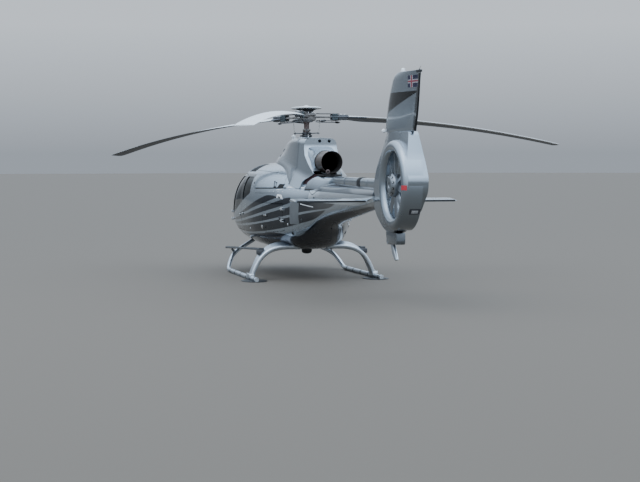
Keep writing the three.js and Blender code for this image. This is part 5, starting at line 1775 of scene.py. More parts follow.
# Landing gear, in metres above the ground, left side; the right side is its mirror
gear = {
    "tube": 0.04,
    "route": [
        (-1, 1.197, 0.046), (-0.3, 1.197, 0.046), (0.7, 1.197, 0.046), (1.5, 1.197, 0.046), (1.68, 1.197, 0.05),
        (1.8, 1.177, 0.1), (1.9, 1.132, 0.195), (2.03, 1.052, 0.31), (2.19, 0.932, 0.395), (2.4, 0.797, 0.448),
        (2.52, 0.667, 0.505), (2.57, 0.537, 0.575), (2.59, 0.437, 0.64),
    ],
    "leg": [
        # across, height, chord, thickness, how far the rear edge hangs (degrees)
        (0.26, 0.632, 0.27, 0.1, 12), (0.48, 0.64, 0.27, 0.098, 14), (0.64, 0.632, 0.27, 0.096, 16),
        (0.8, 0.59, 0.265, 0.094, 16), (0.93, 0.51, 0.26, 0.09, 12), (1.03, 0.4, 0.255, 0.086, 8),
        (1.105, 0.265, 0.245, 0.082, 4), (1.155, 0.15, 0.235, 0.08, 0), (1.175, 0.09, 0.23, 0.08, 0),
    ],
    "legX": -0.43,
    "step": {"rear": -0.47, "front": 2.54, "across": 1.022, "height": 0.512, "wide": 0.09, "tall": 0.036},
}


def bandSection(chord, thick, count=32):
    spots = []
    for k in range(count):
        angle = 2 * pi * k / count
        c, s = cos(angle), sin(angle)
        spots.append((chord / 2 * copysign(abs(c) ** 0.45, c), thick / 2 * copysign(abs(s) ** 0.4, s)))
    return spots


def legPiece():
    route = gear["leg"]
    count = 60
    line = curvePoints([(a, z, 0) for a, z, *_ in route], count)
    rings = []
    for i, spot in enumerate(line):
        ahead = line[min(i + 1, count - 1)] - line[max(i - 1, 0)]
        ahead.normalize()
        share = i / (count - 1) * (len(route) - 1)
        k = min(int(share), len(route) - 2)
        t = share - k
        chord, thick, hang = (route[k][n] * (1 - t) + route[k + 1][n] * t for n in (2, 3, 4))
        tilt = radians(hang)
        ring = []
        for a, h in bandSection(chord, thick):
            alongX = a * cos(tilt) - h * sin(tilt)
            out = a * sin(tilt) + h * cos(tilt)
            ring.append(lift(gear["legX"] - spot.x * 0.03 + alongX, spot.x - ahead.y * out, spot.y + ahead.x * out))
        rings.append(ring)
    return wrap("rearLeg", rings)


def buildGear():
    high = [lift(x, y, z) for x, y, z in gear["route"]]
    tubePiece = tube("skidTube", high, gear["tube"], 150, 28)
    cap = spun(
        "skidCap", [(0.0005, -0.03), (0.03, -0.028), (0.043, -0.018), (0.044, 0.02), (0.04, 0.03), (0.0005, 0.03)],
        lift(-1, 1.197, 0.046), (-1, 0, 0), 32,
    )
    shoe = box("skidShoe", (-0.96, 1.167, ground), lift(1.45, 1.227, 0.016), 0.004)
    bands = []
    for x in (-0.9, -0.2, 0.35, 0.9, 1.4):
        band = spunRing("shoeBand", [(0.0405, -0.02), (0.0445, -0.018), (0.0445, 0.018), (0.0405, 0.02)],
            lift(x, 1.197, 0.046), (1, 0, 0), 32)
        bands.append(band)
    leg = legPiece()
    cut(leg, hullBody("skinTool", 0.001, -3, 2, 0.1))
    foot = box("legFoot", lift(-0.6, 1.145, 0.03), lift(-0.34, 1.25, 0.125), 0.02, 3)
    clampBolts = []
    for x in (-0.57, -0.47, -0.37):
        for y in (1.152, 1.243):
            clampBolts.append(bar("clampBolt", lift(x, y, 0.1), lift(x, y, 0.136), 0.009, sides=6, bevel=0.001))
    step = gear["step"]
    rearX, frontX = step["rear"], step["front"]
    tread = box("boardingStep", (rearX, -step["wide"] / 2, -step["tall"] / 2),
        (frontX, step["wide"] / 2, step["tall"] / 2), 0.012, 3)
    middle = (rearX + frontX) / 2
    place = (
        Matrix.Translation(lift(middle, step["across"], step["height"])) @ Matrix.Rotation(radians(1.4), 4, "Z")
        @ Matrix.Rotation(radians(2.6), 4, "Y") @ Matrix.Translation((-middle, 0, 0))
    )
    moved(tread, place)
    strips = []
    for k in range(5):
        y = -0.032 + 0.016 * k
        strip = box("gripStrip", (rearX + 0.04, y - 0.003, step["tall"] / 2 - 0.001),
            (frontX - 0.04, y + 0.003, step["tall"] / 2 + 0.003), 0.001, 1)
        strips.append(moved(strip, place))
    caps = []
    for x in (rearX - 0.004, frontX + 0.004):
        endCap = box("stepCap", (x - 0.008, -0.049, -0.022), (x + 0.008, 0.049, 0.022), 0.006, 2)
        caps.append(moved(endCap, place))
    clamp = box("stepClamp", lift(-0.5, 0.905, 0.475), lift(-0.38, 1.07, 0.565), 0.012, 2)
    post = tube("stepPost", [lift(2.11, 1, 0.34), lift(2.11, 1.02, 0.39), lift(2.11, 1.06, 0.44)], 0.022, 12, 20)
    sets = [
        ([tubePiece, cap], "SkidTube", None, skidMetal, "_skid"),
        ([shoe, *bands], "SkidShoe", "bare_metal", stepMetal, None),
        ([leg, foot], "RearLeg", None, skidMetal, "_rear_leg"), (clampBolts, "ClampBolts", None, brightSteel, None),
        ([tread, post], "BoardingStep", None, stepMetal, "_step"),
        ([clamp, *caps], "StepClamp", "dark_metal", castMetal, None),
        (strips, "GripStrips", None, rubber, None),
    ]
    for parts, name, slot, finish, node in sets:
        piece = smooth(joined("left" + name, parts))
        for side, one in (("left", piece), ("right", mirror(piece, "right" + name))):
            fit(one, finish, *([side + node] if node else []), slot=slot)
    # snow pads: flat moulded plates clamped under the rear of both tubes
    outline = [(-0.7 + 0.35 * cos(k / 24 * pi), 1.172 + 0.238 * sin(k / 24 * pi)) for k in range(48)]
    pad = outlineBlock("snowPad", outline, ground, 0.012, "flat")
    bevelEdges(pad, 0.004)
    ribs = [pad]
    for y in (1.08, 1.13, 1.26, 1.31):
        reach = 0.3 * sqrt(1 - ((y - 1.172) / 0.238) ** 2)
        ribs.append(box("padRib", lift(-0.7 - reach, y - 0.005, 0.011), lift(-0.7 + reach, y + 0.005, 0.019), 0.003, 2))
    pad = smooth(joined("leftSnowPad", ribs))
    fit(mirror(pad, "rightSnowPad"), plastic, "right_skid")
    fit(pad, plastic, "left_skid")
    pod = spun(
        "bellyPod",
        [(0.0005, 0), (0.045, 0.004), (0.075, 0.015), (0.092, 0.032), (0.1, 0.055), (0.1, 0.15)],
        sides=48,
    )
    fit(smooth(pod, 30), plastic, "belly_hook_pad")


buildGear()
print("landing gear made")


# A frame on the skin: its z points out of the skin and its x aft
def skinFrame(x, z, side=1, out=0):
    spot, normal = skinAt(x, z, side, out)
    ahead = (Vector((-1, 0, 0)) + normal * normal.x).normalized()
    turn = Matrix((ahead, normal.cross(ahead), normal)).transposed()
    return Matrix.Translation(spot) @ turn.to_4x4()


# Door hinges: lugs and a pin on the frame, a knuckle, strap and foot on the door
hinges = [
    # axis x, axis y, way of the door along x, depth of the skin, heights, sides and door bodies
    (2.505, 0.975, -1, 0.93, (1.04, 1.19), ((1, "front_door_left"), (-1, "front_door_right"))),
    (0.425, 0.978, 1, 0.938, (1.18, 1.45), ((-1, "rear_door_right"),)),
    (-0.767, 0.674, 1, 0.628, (1.12, 1.34), ((1, "baggage_door_left"), (-1, "baggage_door_right"))),
]


def buildHinges():
    for i, (x, y, way, skinY, heights, sides) in enumerate(hinges):
        fixed, turning = [], []
        for height in heights:
            z = height + ground
            for low, high in ((-0.0245, -0.0135), (0.0135, 0.0245)):
                near, far = sorted((x - way * 0.012, x - way * 0.001))
                fixed.append(box("lugArm", (near, skinY - 0.02, z + low), (far, y, z + high), 0.002))
                fixed.append(bar("lug", (x, y, z + low), (x, y, z + high), 0.0138, sides=28, bevel=0.0015))
            fixed.append(bar("pin", (x, y, z - 0.028), (x, y, z + 0.028), 0.006, sides=20, bevel=0.001))
            fixed.append(bar("pinHead", (x, y, z + 0.0245), (x, y, z + 0.0285), 0.0095, sides=20, bevel=0.001))
            knuckle = bar("knuckle", (x, y, z - 0.0125), (x, y, z + 0.0125), 0.0138, sides=28, bevel=0.0015)
            cut(knuckle, bar("bore", (x, y, z - 0.03), (x, y, z + 0.03), 0.0064, sides=20))
            ends = sorted((x + way * 0.012, x + way * 0.1))
            strap = box("strap", (ends[0], y - 0.005, z - 0.012), (ends[1], y + 0.005, z + 0.012), 0.003)
            ends = sorted((x + way * 0.076, x + way * 0.1))
            foot = box("foot", (ends[0], skinY + 0.002, z - 0.012), (ends[1], y, z + 0.012), 0.003)
            rivets = [
                bar("rivet", (x + way * dx, y + 0.004, z), (x + way * dx, y + 0.0075, z), 0.004, sides=14, bevel=0.001)
                for dx in (0.08, 0.095)
            ]
            turning += [knuckle, strap, foot, *rivets]
        frameSide = smooth(joined(f"hinge{i + 1}Frame", fixed))
        doorSide = smooth(joined(f"hinge{i + 1}Door", turning))
        for side, body in sides:
            label = "Left" if side > 0 else "Right"
            for piece, owner in ((frameSide, "airframe"), (doorSide, body)):
                one = copyOf(piece, piece.name + label) if side > 0 else mirror(piece, piece.name + label)
                fit(one, brightSteel, body=owner)
        discard(frameSide, doorSide)


buildHinges()


# What lies on the skin: blank plates, vents and patches cut from a thin copy of the skin
skinWork = {
    "thick": 0.0015,
    "patches": [
        # name, outline above ground, corner radius, finish; on both sides
        ("rearVent", [(-0.44, 1.705), (-0.475, 1.8), (-0.665, 1.8), (-0.64, 1.715)], 0.008, "ventDark"),
        ("upperVent", [(-0.745, 1.8), (-0.765, 1.85), (-0.86, 1.85), (-0.84, 1.8)], 0.006, "ventDark"),
        ("latchPlate", [(-0.5, 1.545), (-0.52, 1.61), (-0.68, 1.6), (-0.74, 1.525)], 0.01, "whiteMark"),
        ("exhaustPatch", [(-1, 1.068), (-1.03, 1.457), (-1.37, 1.465), (-1.32, 1.074)], 0.02, "mattPatch"),
    ],
    # x, z, size, and the finish of the rim
    "fittings": [
        (0.083, 0.974, 1.5, "bright"), (-0.05, 0.968, 0.6, "dark"), (0.737, 0.914, 0.9, "bright"),
        (1.26, 0.716, 0.9, "bright"),
        (-0.915, 1.058, 0.9, "bright"), (-0.631, 1.17, 1.1, "dull"), (-0.805, 1.312, 1.5, "dull"),
        (-0.99, 0.895, 1.3, "dark"),
        (-1.441, 1.159, 1, "dull"), (0.532, 1.804, 0.5, "dark"), (-1.95, 1.573, 0.9, "dark"),
    ],
    "lines": [
        ("roofSeam", [(1.3, 2.06), (0.91, 2.047), (0.55, 2.038), (0.19, 2.025), (-0.16, 2.003), (-0.52, 1.976)],
        0.003, "ventDark", "black_parts"),
        ("shoulderSeam", [(-0.5, 1.974), (-0.56, 1.9), (-0.62, 1.81)], 0.003, "ventDark", "black_parts"),
        ("frameSeam", [(0.375, 1.612), (0.1, 1.618), (-0.2, 1.624), (-0.43, 1.63)], 0.003, "ventDark", "black_parts"),
        ("brightFlange", [(-0.79, 1.746), (-1, 1.745), (-1.2, 1.745), (-1.38, 1.744)], 0.009, "whiteMark",
        "silver_paint"),
        ("flangeEdge", [(-0.45, 1.69), (-0.62, 1.703), (-0.79, 1.735)], 0.005, "whiteMark", "silver_paint"),
        ("fairingSeam", [(-1.48, 1.735), (-1.635, 1.698), (-1.83, 1.632), (-1.9, 1.65), (-2.03, 1.703),
        (-2.2, 1.728)], 0.006, "ventDark", "black_parts"),
        ("latchStrip", [(-1.42, 1.452), (-1.6, 1.435), (-1.8, 1.418), (-1.94, 1.411)], 0.006, "whiteMark",
        "silver_paint"),
    ],
    "studs": [(-0.2 - 0.16 * k, 1.655) for k in range(4)] + [(-0.9 - 0.16 * k, 1.7 - 0.005 * k) for k in range(7)],
}
markFinish = {"ventDark": ventDark, "mattPatch": mattPatch, "whiteMark": whiteMark}


def buildSkinWork():
    thick = skinWork["thick"]
    shell = keepIn(hullBody("thinSkin", -thick, -3, 2.9), boxTool(-2.4, 1.2, -1.2, 1.2, 0.5, 2.3))
    cut(shell, hullBody("skinTool", -0.0003, -3.2, 3))
    for name, outline, radius, finish in skinWork["patches"]:
        patch = keepIn(copyOf(shell, name), sideTool(outline, radius, start=0.1))
        smooth(patch, 30)
        for piece in (mirror(patch, name + "Right"), patch):
            fit(piece, markFinish[finish], slot="black_parts")
    discard(shell)
    border = hullBody("roofBorder", 0.0104, 0.5, 2.2)
    cut(border, hullBody("borderInside", 0.0118, 0.4, 2.3))
    keepIn(border, boxTool(0.96, 1.64, 0.56, 0.79, 1.99, 2.3))
    for piece in (mirror(smooth(border), "roofBorderRight"), border):
        fit(piece, ventDark)
    # flush turn fittings with a bright rim, and the studs along the engine deck's edge
    rims = {"bright": brightSteel, "dull": castMetal, "dark": ventDark}
    for i, (x, z, size, rim) in enumerate(skinWork["fittings"]):
        body = spun(
            "skinFitting",
            [(0.022, -0.004), (0.026, 0), (0.026, 0.003), (0.022, 0.005), (0.017, 0.004), (0.014, 0.007),
             (0.0005, 0.008)],
            sides=28,
        )
        cut(body, box("slot", (-0.012, -0.0016, 0.005), (0.012, 0.0016, 0.02)))
        for side in (1, -1):
            one = moved(copyOf(body, f"skinFitting{i + 1}"),
                skinFrame(x, z, side, 0.0005) @ Matrix.Diagonal((size, size, 1, 1)))
            owner = "rear_door_right" if side < 0 and 0.43 < x < 1.27 and z > 0.86 else "airframe"
            fit(smooth(one), rims[rim], body=owner, slot="steel")
        discard(body)
    # panel seams and the bright flange: thin strips bedded on the skin
    for name, spots, half, finish, slotName in skinWork["lines"]:
        for side in (1, -1):
            track = curvePoints([tuple(skinAt(x, z, side, 0.0004)[0]) for x, z in spots], 24)
            strip = swept(name, track, [(-half, -0.0006), (half, -0.0006), (half, 0.0006), (-half, 0.0006)],
                skinAt(*spots[1], side)[1])
            fit(smooth(strip), markFinish[finish], slot=slotName)
    for side in (1, -1):
        frames = [skinAt(x, z, side, 0.0005) for x, z in skinWork["studs"]]
        fit(studRow("deckStuds", frames), brightSteel)


buildSkinWork()


# The sliding door's rail along the left side, with its end stop; the same edge trims the right
def buildRails():
    spots = [skinAt(x / 100, 1.7 + (0.7 - x / 100) * 0.02, 1, 0.004)[0] for x in range(40, -77, -4)]
    rail = swept("leftRail", spots, [(0.006, -0.009), (0.008, 0), (0.006, 0.009), (-0.008, 0.009), (-0.008, -0.009)])
    lip = swept("leftRailLip", [s + Vector((0, 0, -0.016)) for s in spots], circle(0.004, 10))
    for piece, finish in ((rail, plastic), (lip, silverPaint)):
        for one in (mirror(smooth(piece, 30), piece.name.replace("left", "right")), piece):
            fit(one, finish)
    stop = moved(box("railStop", (-0.02, -0.018, -0.002), (0.02, 0.018, 0.022), 0.005, 3), skinFrame(-0.36, 1.735))
    foot, middle, top = (tuple(skinAt(x, z, 1, out)[0]) for x, z,
        out in ((-0.36, 1.735, 0.012), (-0.34, 1.78, 0.022), (-0.31, 1.83, 0.02)))
    lever = tube("lever", [foot, middle, top], 0.007, 16, 14)
    knob = spun("leverKnob", [(0.0005, -0.016), (0.01, -0.013), (0.016, 0), (0.01, 0.013), (0.0005, 0.016)], top,
        sides=24)
    fit(smooth(joined("railLever", [lever, knob, stop])), plastic)
    roller = moved(box("rollerHousing", (-0.04, -0.022, -0.002), (0.04, 0.022, 0.02), 0.007, 3), skinFrame(-0.61, 1.56))
    wheel = spun("roller", [(0.0005, 0.014), (0.016, 0.015), (0.018, 0.02), (0.016, 0.025), (0.0005, 0.026)], sides=28)
    fit(smooth(roller), brightSteel)
    fit(smooth(moved(wheel, skinFrame(-0.64, 1.548))), rubber)


buildRails()


# Door handles: a dished recess plate with a pull lever, on the front and rear doors
def buildHandles():
    spots = [
        (1.44, 1.17, 1, "front_door_left"), (1.44, 1.17, -1, "front_door_right"),
        (1.17, 1.2, 1, "airframe"), (1.17, 1.2, -1, "rear_door_right"),
        (-0.1, 1.2, 1, "baggage_door_left"), (-0.1, 1.2, -1, "baggage_door_right"),
    ]
    plate = outlineBlock("handlePlate", rectangle(-0.065, 0.065, -0.028, 0.028, 0.02), -0.001, 0.004, "flat")
    bevelEdges(plate, 0.0012)
    lever = outlineBlock("handleLever", rounded([(-0.055, -0.014), (0.03, -0.011), (0.03, 0.011), (-0.055, 0.014)],
        0.009), 0.006, 0.009, "flat")
    bevelEdges(lever, 0.003, 3)
    boss = spun("handleBoss", [(0.0005, 0.002), (0.015, 0.002), (0.015, 0.012), (0.011, 0.016), (0.0005, 0.017)],
        (0.03, 0, 0), sides=28)
    lock = spun("handleLock", [(0.0005, 0.002), (0.009, 0.002), (0.009, 0.005), (0.006, 0.006), (0.0005, 0.006)],
        (0.052, 0, 0), sides=24)
    for i, (x, z, side, body) in enumerate(spots):
        place = skinFrame(x, z, side, 0.001)
        for model, finish in ((plate, plastic), (lever, brightSteel), (boss, brightSteel), (lock, rotorSteel)):
            fit(smooth(moved(copyOf(model, f"{model.name}{i + 1}"), place)), finish, body=body)
    discard(plate, lever, boss, lock)


buildHandles()


# a thin plate laid on a surface: each of its points goes to the nearest spot there
def laidOn(name, target, corners, thick=0.0015, rows=14, columns=8):
    a, b, c, d = (Vector(lift(x, y, z)) for x, y, z in corners)
    rings = []
    for i in range(rows + 1):
        t, over, under = i / rows, [], []
        for j in range(columns + 1):
            s = j / columns
            start = (a * (1 - s) + b * s) * (1 - t) + (d * (1 - s) + c * s) * t
            _, spot, normal, _ = target.closest_point_on_mesh(start)
            over.append(tuple(spot + normal * thick))
            under.append(tuple(spot - normal * thick))
        rings.append(over + under[::-1])
    return smooth(wrap(name, rings), 30)


# Antennas, lights and the tail's marks
def buildTailWork():
    # the white dome on the cowl and whip aerials below the boom
    dome = spun("navigationDome", [(0.036, -0.03), (0.036, 0.01), (0.043, 0.025), (0.044, 0.05), (0.034, 0.075),
        (0.016, 0.09), (0.0005, 0.093)], lift(0.55, 0.125, 2.638), (0, 0, 1), 40)
    fit(smooth(dome), whitePaint)
    for i, (x, z) in enumerate(((-1.9, 1.02), (-2.3, 1.12))):
        base = box("aerialBase", (x - 0.03, -0.015, z + ground - 0.01), (x + 0.03, 0.015, z + ground + 0.04), 0.006, 3)
        whip = tube("aerialWhip", [lift(x, 0, z), (x + 0.02, 0, z + ground - 0.12),
            (x + 0.05, 0, z + ground - 0.25)], 0.0035, 10, 10)
        fit(smooth(joined(f"whipAerial{i + 1}", [base, whip])), plastic)
    # the light on the fin's tip
    high = 3.6 + ground
    base = spun("finLightBase", [(0.042, -0.05), (0.042, 0.018), (0.038, 0.022), (0.0005, 0.023)],
        (-6.32, 0.008, high), (0, 0, 1), 36)
    lens = spun("finLightLens", [(0.034, 0.021), (0.034, 0.03), (0.032, 0.045), (0.024, 0.058), (0.01, 0.064),
        (0.0005, 0.065)], (-6.32, 0.008, high), (0, 0, 1), 36)
    fit(smooth(base), whitePaint)
    fit(smooth(lens), lensClear)
    front = spun("finFootLight", [(0.0005, -0.02), (0.026, -0.018), (0.03, 0), (0.028, 0.02), (0.018, 0.034),
        (0.0005, 0.04)], lift(-5.6, 0.105, 2.715), (0.4, 0.3, 1), 32)
    fit(smooth(front), lensClear)
    # the dark cap on the trailing edge of the tip, with its static wick
    cap = outlineBlock("finTipCap", raised([(-7.19, 3.565), (-7, 3.565), (-7, 3.602), (-7.188, 3.602)]), -0.02, 0.045)
    bevelEdges(cap, 0.006)
    wick = bar("staticWick", lift(-7.08, 0, 3.59), lift(-7.185, 0, 3.655), 0.005, 0.002, 12)
    fit(smooth(joined("finTipCap", [cap, wick])), plastic)
    # blank plates: red on the left cheek, a dark one on the rear face
    shroud = bpy.data.objects["fanShroud"]
    red = [(-6.97, 0.285, 1.895), (-6.97, 0.285, 1.825), (-7.04, 0.165, 1.825), (-7.04, 0.165, 1.895)]
    rear = [(-6.98, 0.106, 1.542), (-6.92, 0.106, 1.466), (-6.92, -0.065, 1.466), (-6.98, -0.065, 1.542)]
    fit(laidOn("redPlate", shroud, red), redPlate)
    fit(laidOn("rearPlate", shroud, rear), darkMark)
    for i, z in enumerate((1.522, 1.487)):
        line = [(-6.95, 0.07, z + 0.002), (-6.94, 0.07, z - 0.002), (-6.94, -0.03, z - 0.002),
            (-6.95, -0.03, z + 0.002)]
        fit(laidOn(f"rearPlateLine{i + 1}", shroud, line, 0.0025), whiteMark, slot="black_parts")


buildTailWork()
print("hinges, handles, skin work and tail work made")


# Cabin, in metres above the ground
cabin = {"seatSides": (0.18, 0.63), "voxel": 0.01, "pressure": 4, "puffCap": 0.014}


# foam under leather: a crowned block, remeshed, blown up as cloth and finished with sewn channels
def paddedBlock(name, size, crown, channels):
    sx, sy, sz = size
    cap = cabin["puffCap"]
    piece = box(name, (-sx / 2 + cap / 2, -sy / 2 + cap / 2, 0), (sx / 2 - cap / 2, sy / 2 - cap / 2, sz - cap / 2),
        0.026, 4)
    editing(piece, selectAll, lambda: bpy.ops.mesh.subdivide(number_cuts=4))
    for vertex in piece.data.vertices:
        u, v, w = 2 * vertex.co.x / sx, 2 * vertex.co.y / sy, vertex.co.z / sz
        vertex.co.z += crown * max(0, 1 - u * u) * max(0, 1 - v * v) * w
    modify(piece, "REMESH", mode="VOXEL", voxel_size=cabin["voxel"])
    blowUp(piece, cap)
    modify(piece, "SUBSURF", levels=1)
    for axis, at in channels:
        for vertex in piece.data.vertices:
            gap = (vertex.co.x if axis == "x" else vertex.co.y) - at
            if vertex.co.z > sz * 0.45:
                vertex.co.z -= 0.009 * exp(-((gap / 0.008) ** 2))
    return piece


def blowUp(piece, cap):
    start = [vertex.co.copy() for vertex in piece.data.vertices]
    pick(piece)
    cloth = piece.modifiers.new("cloth", "CLOTH")
    cloth.settings.use_pressure = True
    cloth.settings.uniform_pressure_force = cabin["pressure"]
    cloth.settings.effector_weights.gravity = 0
    for moment in range(1, 21):
        bpy.context.scene.frame_set(moment)
    bpy.ops.object.modifier_apply(modifier=cloth.name)
    bpy.context.scene.frame_set(1)
    for vertex, was in zip(piece.data.vertices, start):
        shift = vertex.co - was
        if shift.length > cap:
            vertex.co = was + shift.normalized() * cap
        vertex.co.z = max(vertex.co.z, 0)


# a cord of piping round the crown of a pad, on its seam
def pipingFor(name, size, drop=0.012):
    sx, sy, sz = size
    corner = rounded([(-sx / 2, -sy / 2), (sx / 2, -sy / 2), (sx / 2, sy / 2), (-sx / 2, sy / 2)], 0.05, 6)
    line = [(x * 0.985, y * 0.985, sz - drop) for x, y in corner]
    rings = []
    count = len(line)
    for i in range(count + 1):
        here = Vector(line[i % count])
        ahead = Vector(line[(i + 1) % count]) - Vector(line[(i - 1) % count])
        side = ahead.cross(Vector((0, 0, 1))).normalized()
        rings.append([tuple(here + side * a + Vector((0, 0, b))) for a, b in circle(0.0035, 8)])
    return wrap(name, rings, ends=False)


def leanMatrix(x, y, z, forward):
    return Matrix.Translation(lift(x, y, z)) @ Matrix.Rotation(radians(forward), 4, "Y")


def webStrap(name, points, wide=0.045, across=(0, 1, 0)):
    section = [(-wide / 2, -0.0012), (wide / 2, -0.0012), (wide / 2, 0.0012), (-wide / 2, 0.0012)]
    up = Vector(points[-1]) - Vector(points[0])
    normal = up.cross(Vector(across)).normalized()
    return swept(name, curvePoints([lift(x, y, z) for x, y, z in points], 26), section, normal)


def buildFrontSeats():
    low, high = cabin["seatSides"]
    middle = (low + high) / 2
    panSize, backSize, headSize = (0.49, 0.44, 0.082), (0.44, 0.44, 0.082), (0.13, 0.27, 0.06)
    pads = [
        ("seatPan", panSize, 0.018, [("y", -0.11), ("y", 0.11), ("x", -0.05)], leanMatrix(1.745, middle, 1.085, -3)),
        ("seatBack", backSize, 0.016, [("y", -0.11), ("y", 0.11), ("x", 0.02)], leanMatrix(1.437, middle, 1.345, 81)),
        ("headRest", headSize, 0.01, [("y", 0)], leanMatrix(1.388, middle, 1.648, 81)),
    ]
    for name, size, crown, channels, place in pads:
        pad = paddedBlock(name, size, crown, channels)
        piping = pipingFor(name + "Piping", size)
        for piece, isPad in ((pad, True), (piping, False)):
            moved(piece, place)
            smooth(piece, 60)
            twin = mirror(piece, "right" + name[0].upper() + name[1:] + ("" if isPad else "Piping"))
            piece.name = "left" + name[0].upper() + name[1:] + ("" if isPad else "Piping")
            for one, node in ((piece, "left_front_seat"), (twin, "right_front_seat")):
                fit(one, seatLeather if isPad else webbing, node)
    shellLine = [(1.44, 1.06), (1.475, 1.06), (1.475, 1.12), (1.395, 1.62), (1.385, 1.715), (1.365, 1.728),
        (1.35, 1.7), (1.36, 1.62)]
    shell = outlineBlock("seatShell", raised(rounded(shellLine, 0.012)), low, high - low)
    bevelEdges(shell, 0.005)
    tray = box("seatTray", lift(1.47, low, 1.05), lift(1.985, high, 1.084), 0.012, 3)
    sides = []
    for y in (low + 0.03, high - 0.042):
        plate = outlineBlock("seatSide", raised(rounded([(1.5, 0.81), (1.97, 0.81), (1.975, 1.052), (1.485, 1.052)],
            0.02)), y, 0.012)
        cut(plate, outlineBlock("opening", raised(rounded([(1.57, 0.86), (1.9, 0.86), (1.9, 1), (1.56, 1)], 0.03)),
            y - 0.05, 0.1))
        bevelEdges(plate, 0.002, 1)
        rail = box("seatRail", lift(1.46, y - 0.012, 0.8005), lift(2.02, y + 0.024, 0.814), 0.003)
        sides += [plate, rail]
    cross = bar("seatCross", lift(1.6, low + 0.03, 0.9), lift(1.6, high - 0.03, 0.9), 0.014, sides=20, bevel=0.002)
    straps = []
    for dy in (-0.085, 0.085):
        y = middle + dy
        points = [(1.362, y, 1.62), (1.37, y, 1.71), (1.4, y, 1.738), (1.452, y * 0.98 + middle * 0.02, 1.715),
            (1.487, y, 1.58),
                  (1.54, middle + dy * 0.8, 1.38), (1.585, middle + dy * 0.4, 1.25), (1.645, middle + dy * 0.2, 1.205)]
        straps.append(webStrap("shoulderStrap", points))
    for y in (low + 0.006, high - 0.006):
        points = [(1.5, y, 1.07), (1.53, y * 0.97 + middle * 0.03, 1.15), (1.59, y * 0.6 + middle * 0.4, 1.197),
            (1.655, middle + (y - middle) * 0.1, 1.204)]
        straps.append(webStrap("lapStrap", points, 0.045, (1, 0, 0)))
    buckle = spun("harnessBuckle", [(0.0005, -0.006), (0.032, -0.006), (0.034, 0), (0.034, 0.012), (0.028, 0.017),
        (0.012, 0.018), (0.0005, 0.018)], lift(1.66, middle, 1.206), (0.25, 0, 1), 32)
    sets = [
        ([shell, tray], "SeatShell", compositeBlack), ([*sides, cross], "SeatFrame", castMetal),
        (straps, "Harness", webbing), ([buckle], "Buckle", brightSteel),
    ]
    for parts, name, finish in sets:
        piece = smooth(joined("left" + name, parts))
        for one in (mirror(piece, "right" + name), piece):
            fit(one, finish)


def buildBench():
    panSize, backSize = (0.44, 0.375, 0.075), (0.53, 0.375, 0.075)
    pads = [
        ("benchPan", panSize, 0.016, [("y", 0), ("x", -0.04)], (0.63, 1.078, -2)),
        ("benchBack", backSize, 0.014, [("y", 0), ("x", 0.1)], (0.317, 1.395, 80.5)),
    ]
    for name, size, crown, channels, (x, z, lean) in pads:
        model = paddedBlock(name, size, crown, channels)
        piping = pipingFor(name + "Piping", size)
        for i, y in enumerate((-0.393, 0, 0.393)):
            one = moved(copyOf(model, f"{name}{i + 1}"), leanMatrix(x, y, z, lean))
            fit(smooth(one, 60), seatLeather, "rear_bench")
            edge = moved(copyOf(piping, f"{name}Piping{i + 1}"), leanMatrix(x, y, z, lean))
            fit(smooth(edge, 60), webbing, "rear_bench")
        discard(model, piping)
    base = box("benchBase", lift(0.31, -0.585, 0.8005), lift(0.835, 0.585, 1.074), 0.014, 3)
    for y in (-0.4, 0, 0.4):
        cut(base, box("recess", lift(0.825, y - 0.16, 0.86), lift(0.85, y + 0.16, 1.02), 0.01))
    shellLine = [(0.27, 1.06), (0.325, 1.06), (0.325, 1.13), (0.262, 1.66), (0.25, 1.7), (0.225, 1.69), (0.225, 1.62)]
    shell = outlineBlock("benchShell", raised(rounded(shellLine, 0.012)), -0.587, 1.174)
    bevelEdges(shell, 0.005)
    fit(smooth(joined("benchFrame", [base, shell])), cabinTrim, "rear_bench", slot="leather")
    straps, buckles = [], []
    for y in (-0.393, 0, 0.393):
        for dy in (-0.08, 0.08):
            points = [(0.25, y + dy, 1.69), (0.3, y + dy, 1.705), (0.35, y + dy, 1.66), (0.4, y + dy, 1.4),
                (0.455, y + dy * 0.5, 1.2), (0.52, y + dy * 0.2, 1.183)]
            straps.append(webStrap("benchStrap", points))
        for sign in (-1, 1):
            points = [(0.4, y + sign * 0.17, 1.13), (0.44, y + sign * 0.13, 1.172), (0.5, y + sign * 0.05, 1.182),
                (0.53, y + sign * 0.01, 1.183)]
            straps.append(webStrap("benchLap", points, 0.045, (1, 0, 0)))
        buckles.append(spun("buckle", [(0.0005, -0.006), (0.03, -0.006), (0.032, 0.01), (0.026, 0.016),
            (0.0005, 0.017)], lift(0.53, y, 1.186), (0.2, 0, 1), 28))
    fit(smooth(joined("benchHarness", straps)), webbing)
    fit(smooth(joined("benchBuckles", buckles)), brightSteel)


buildFrontSeats()
buildBench()
print("seats made")


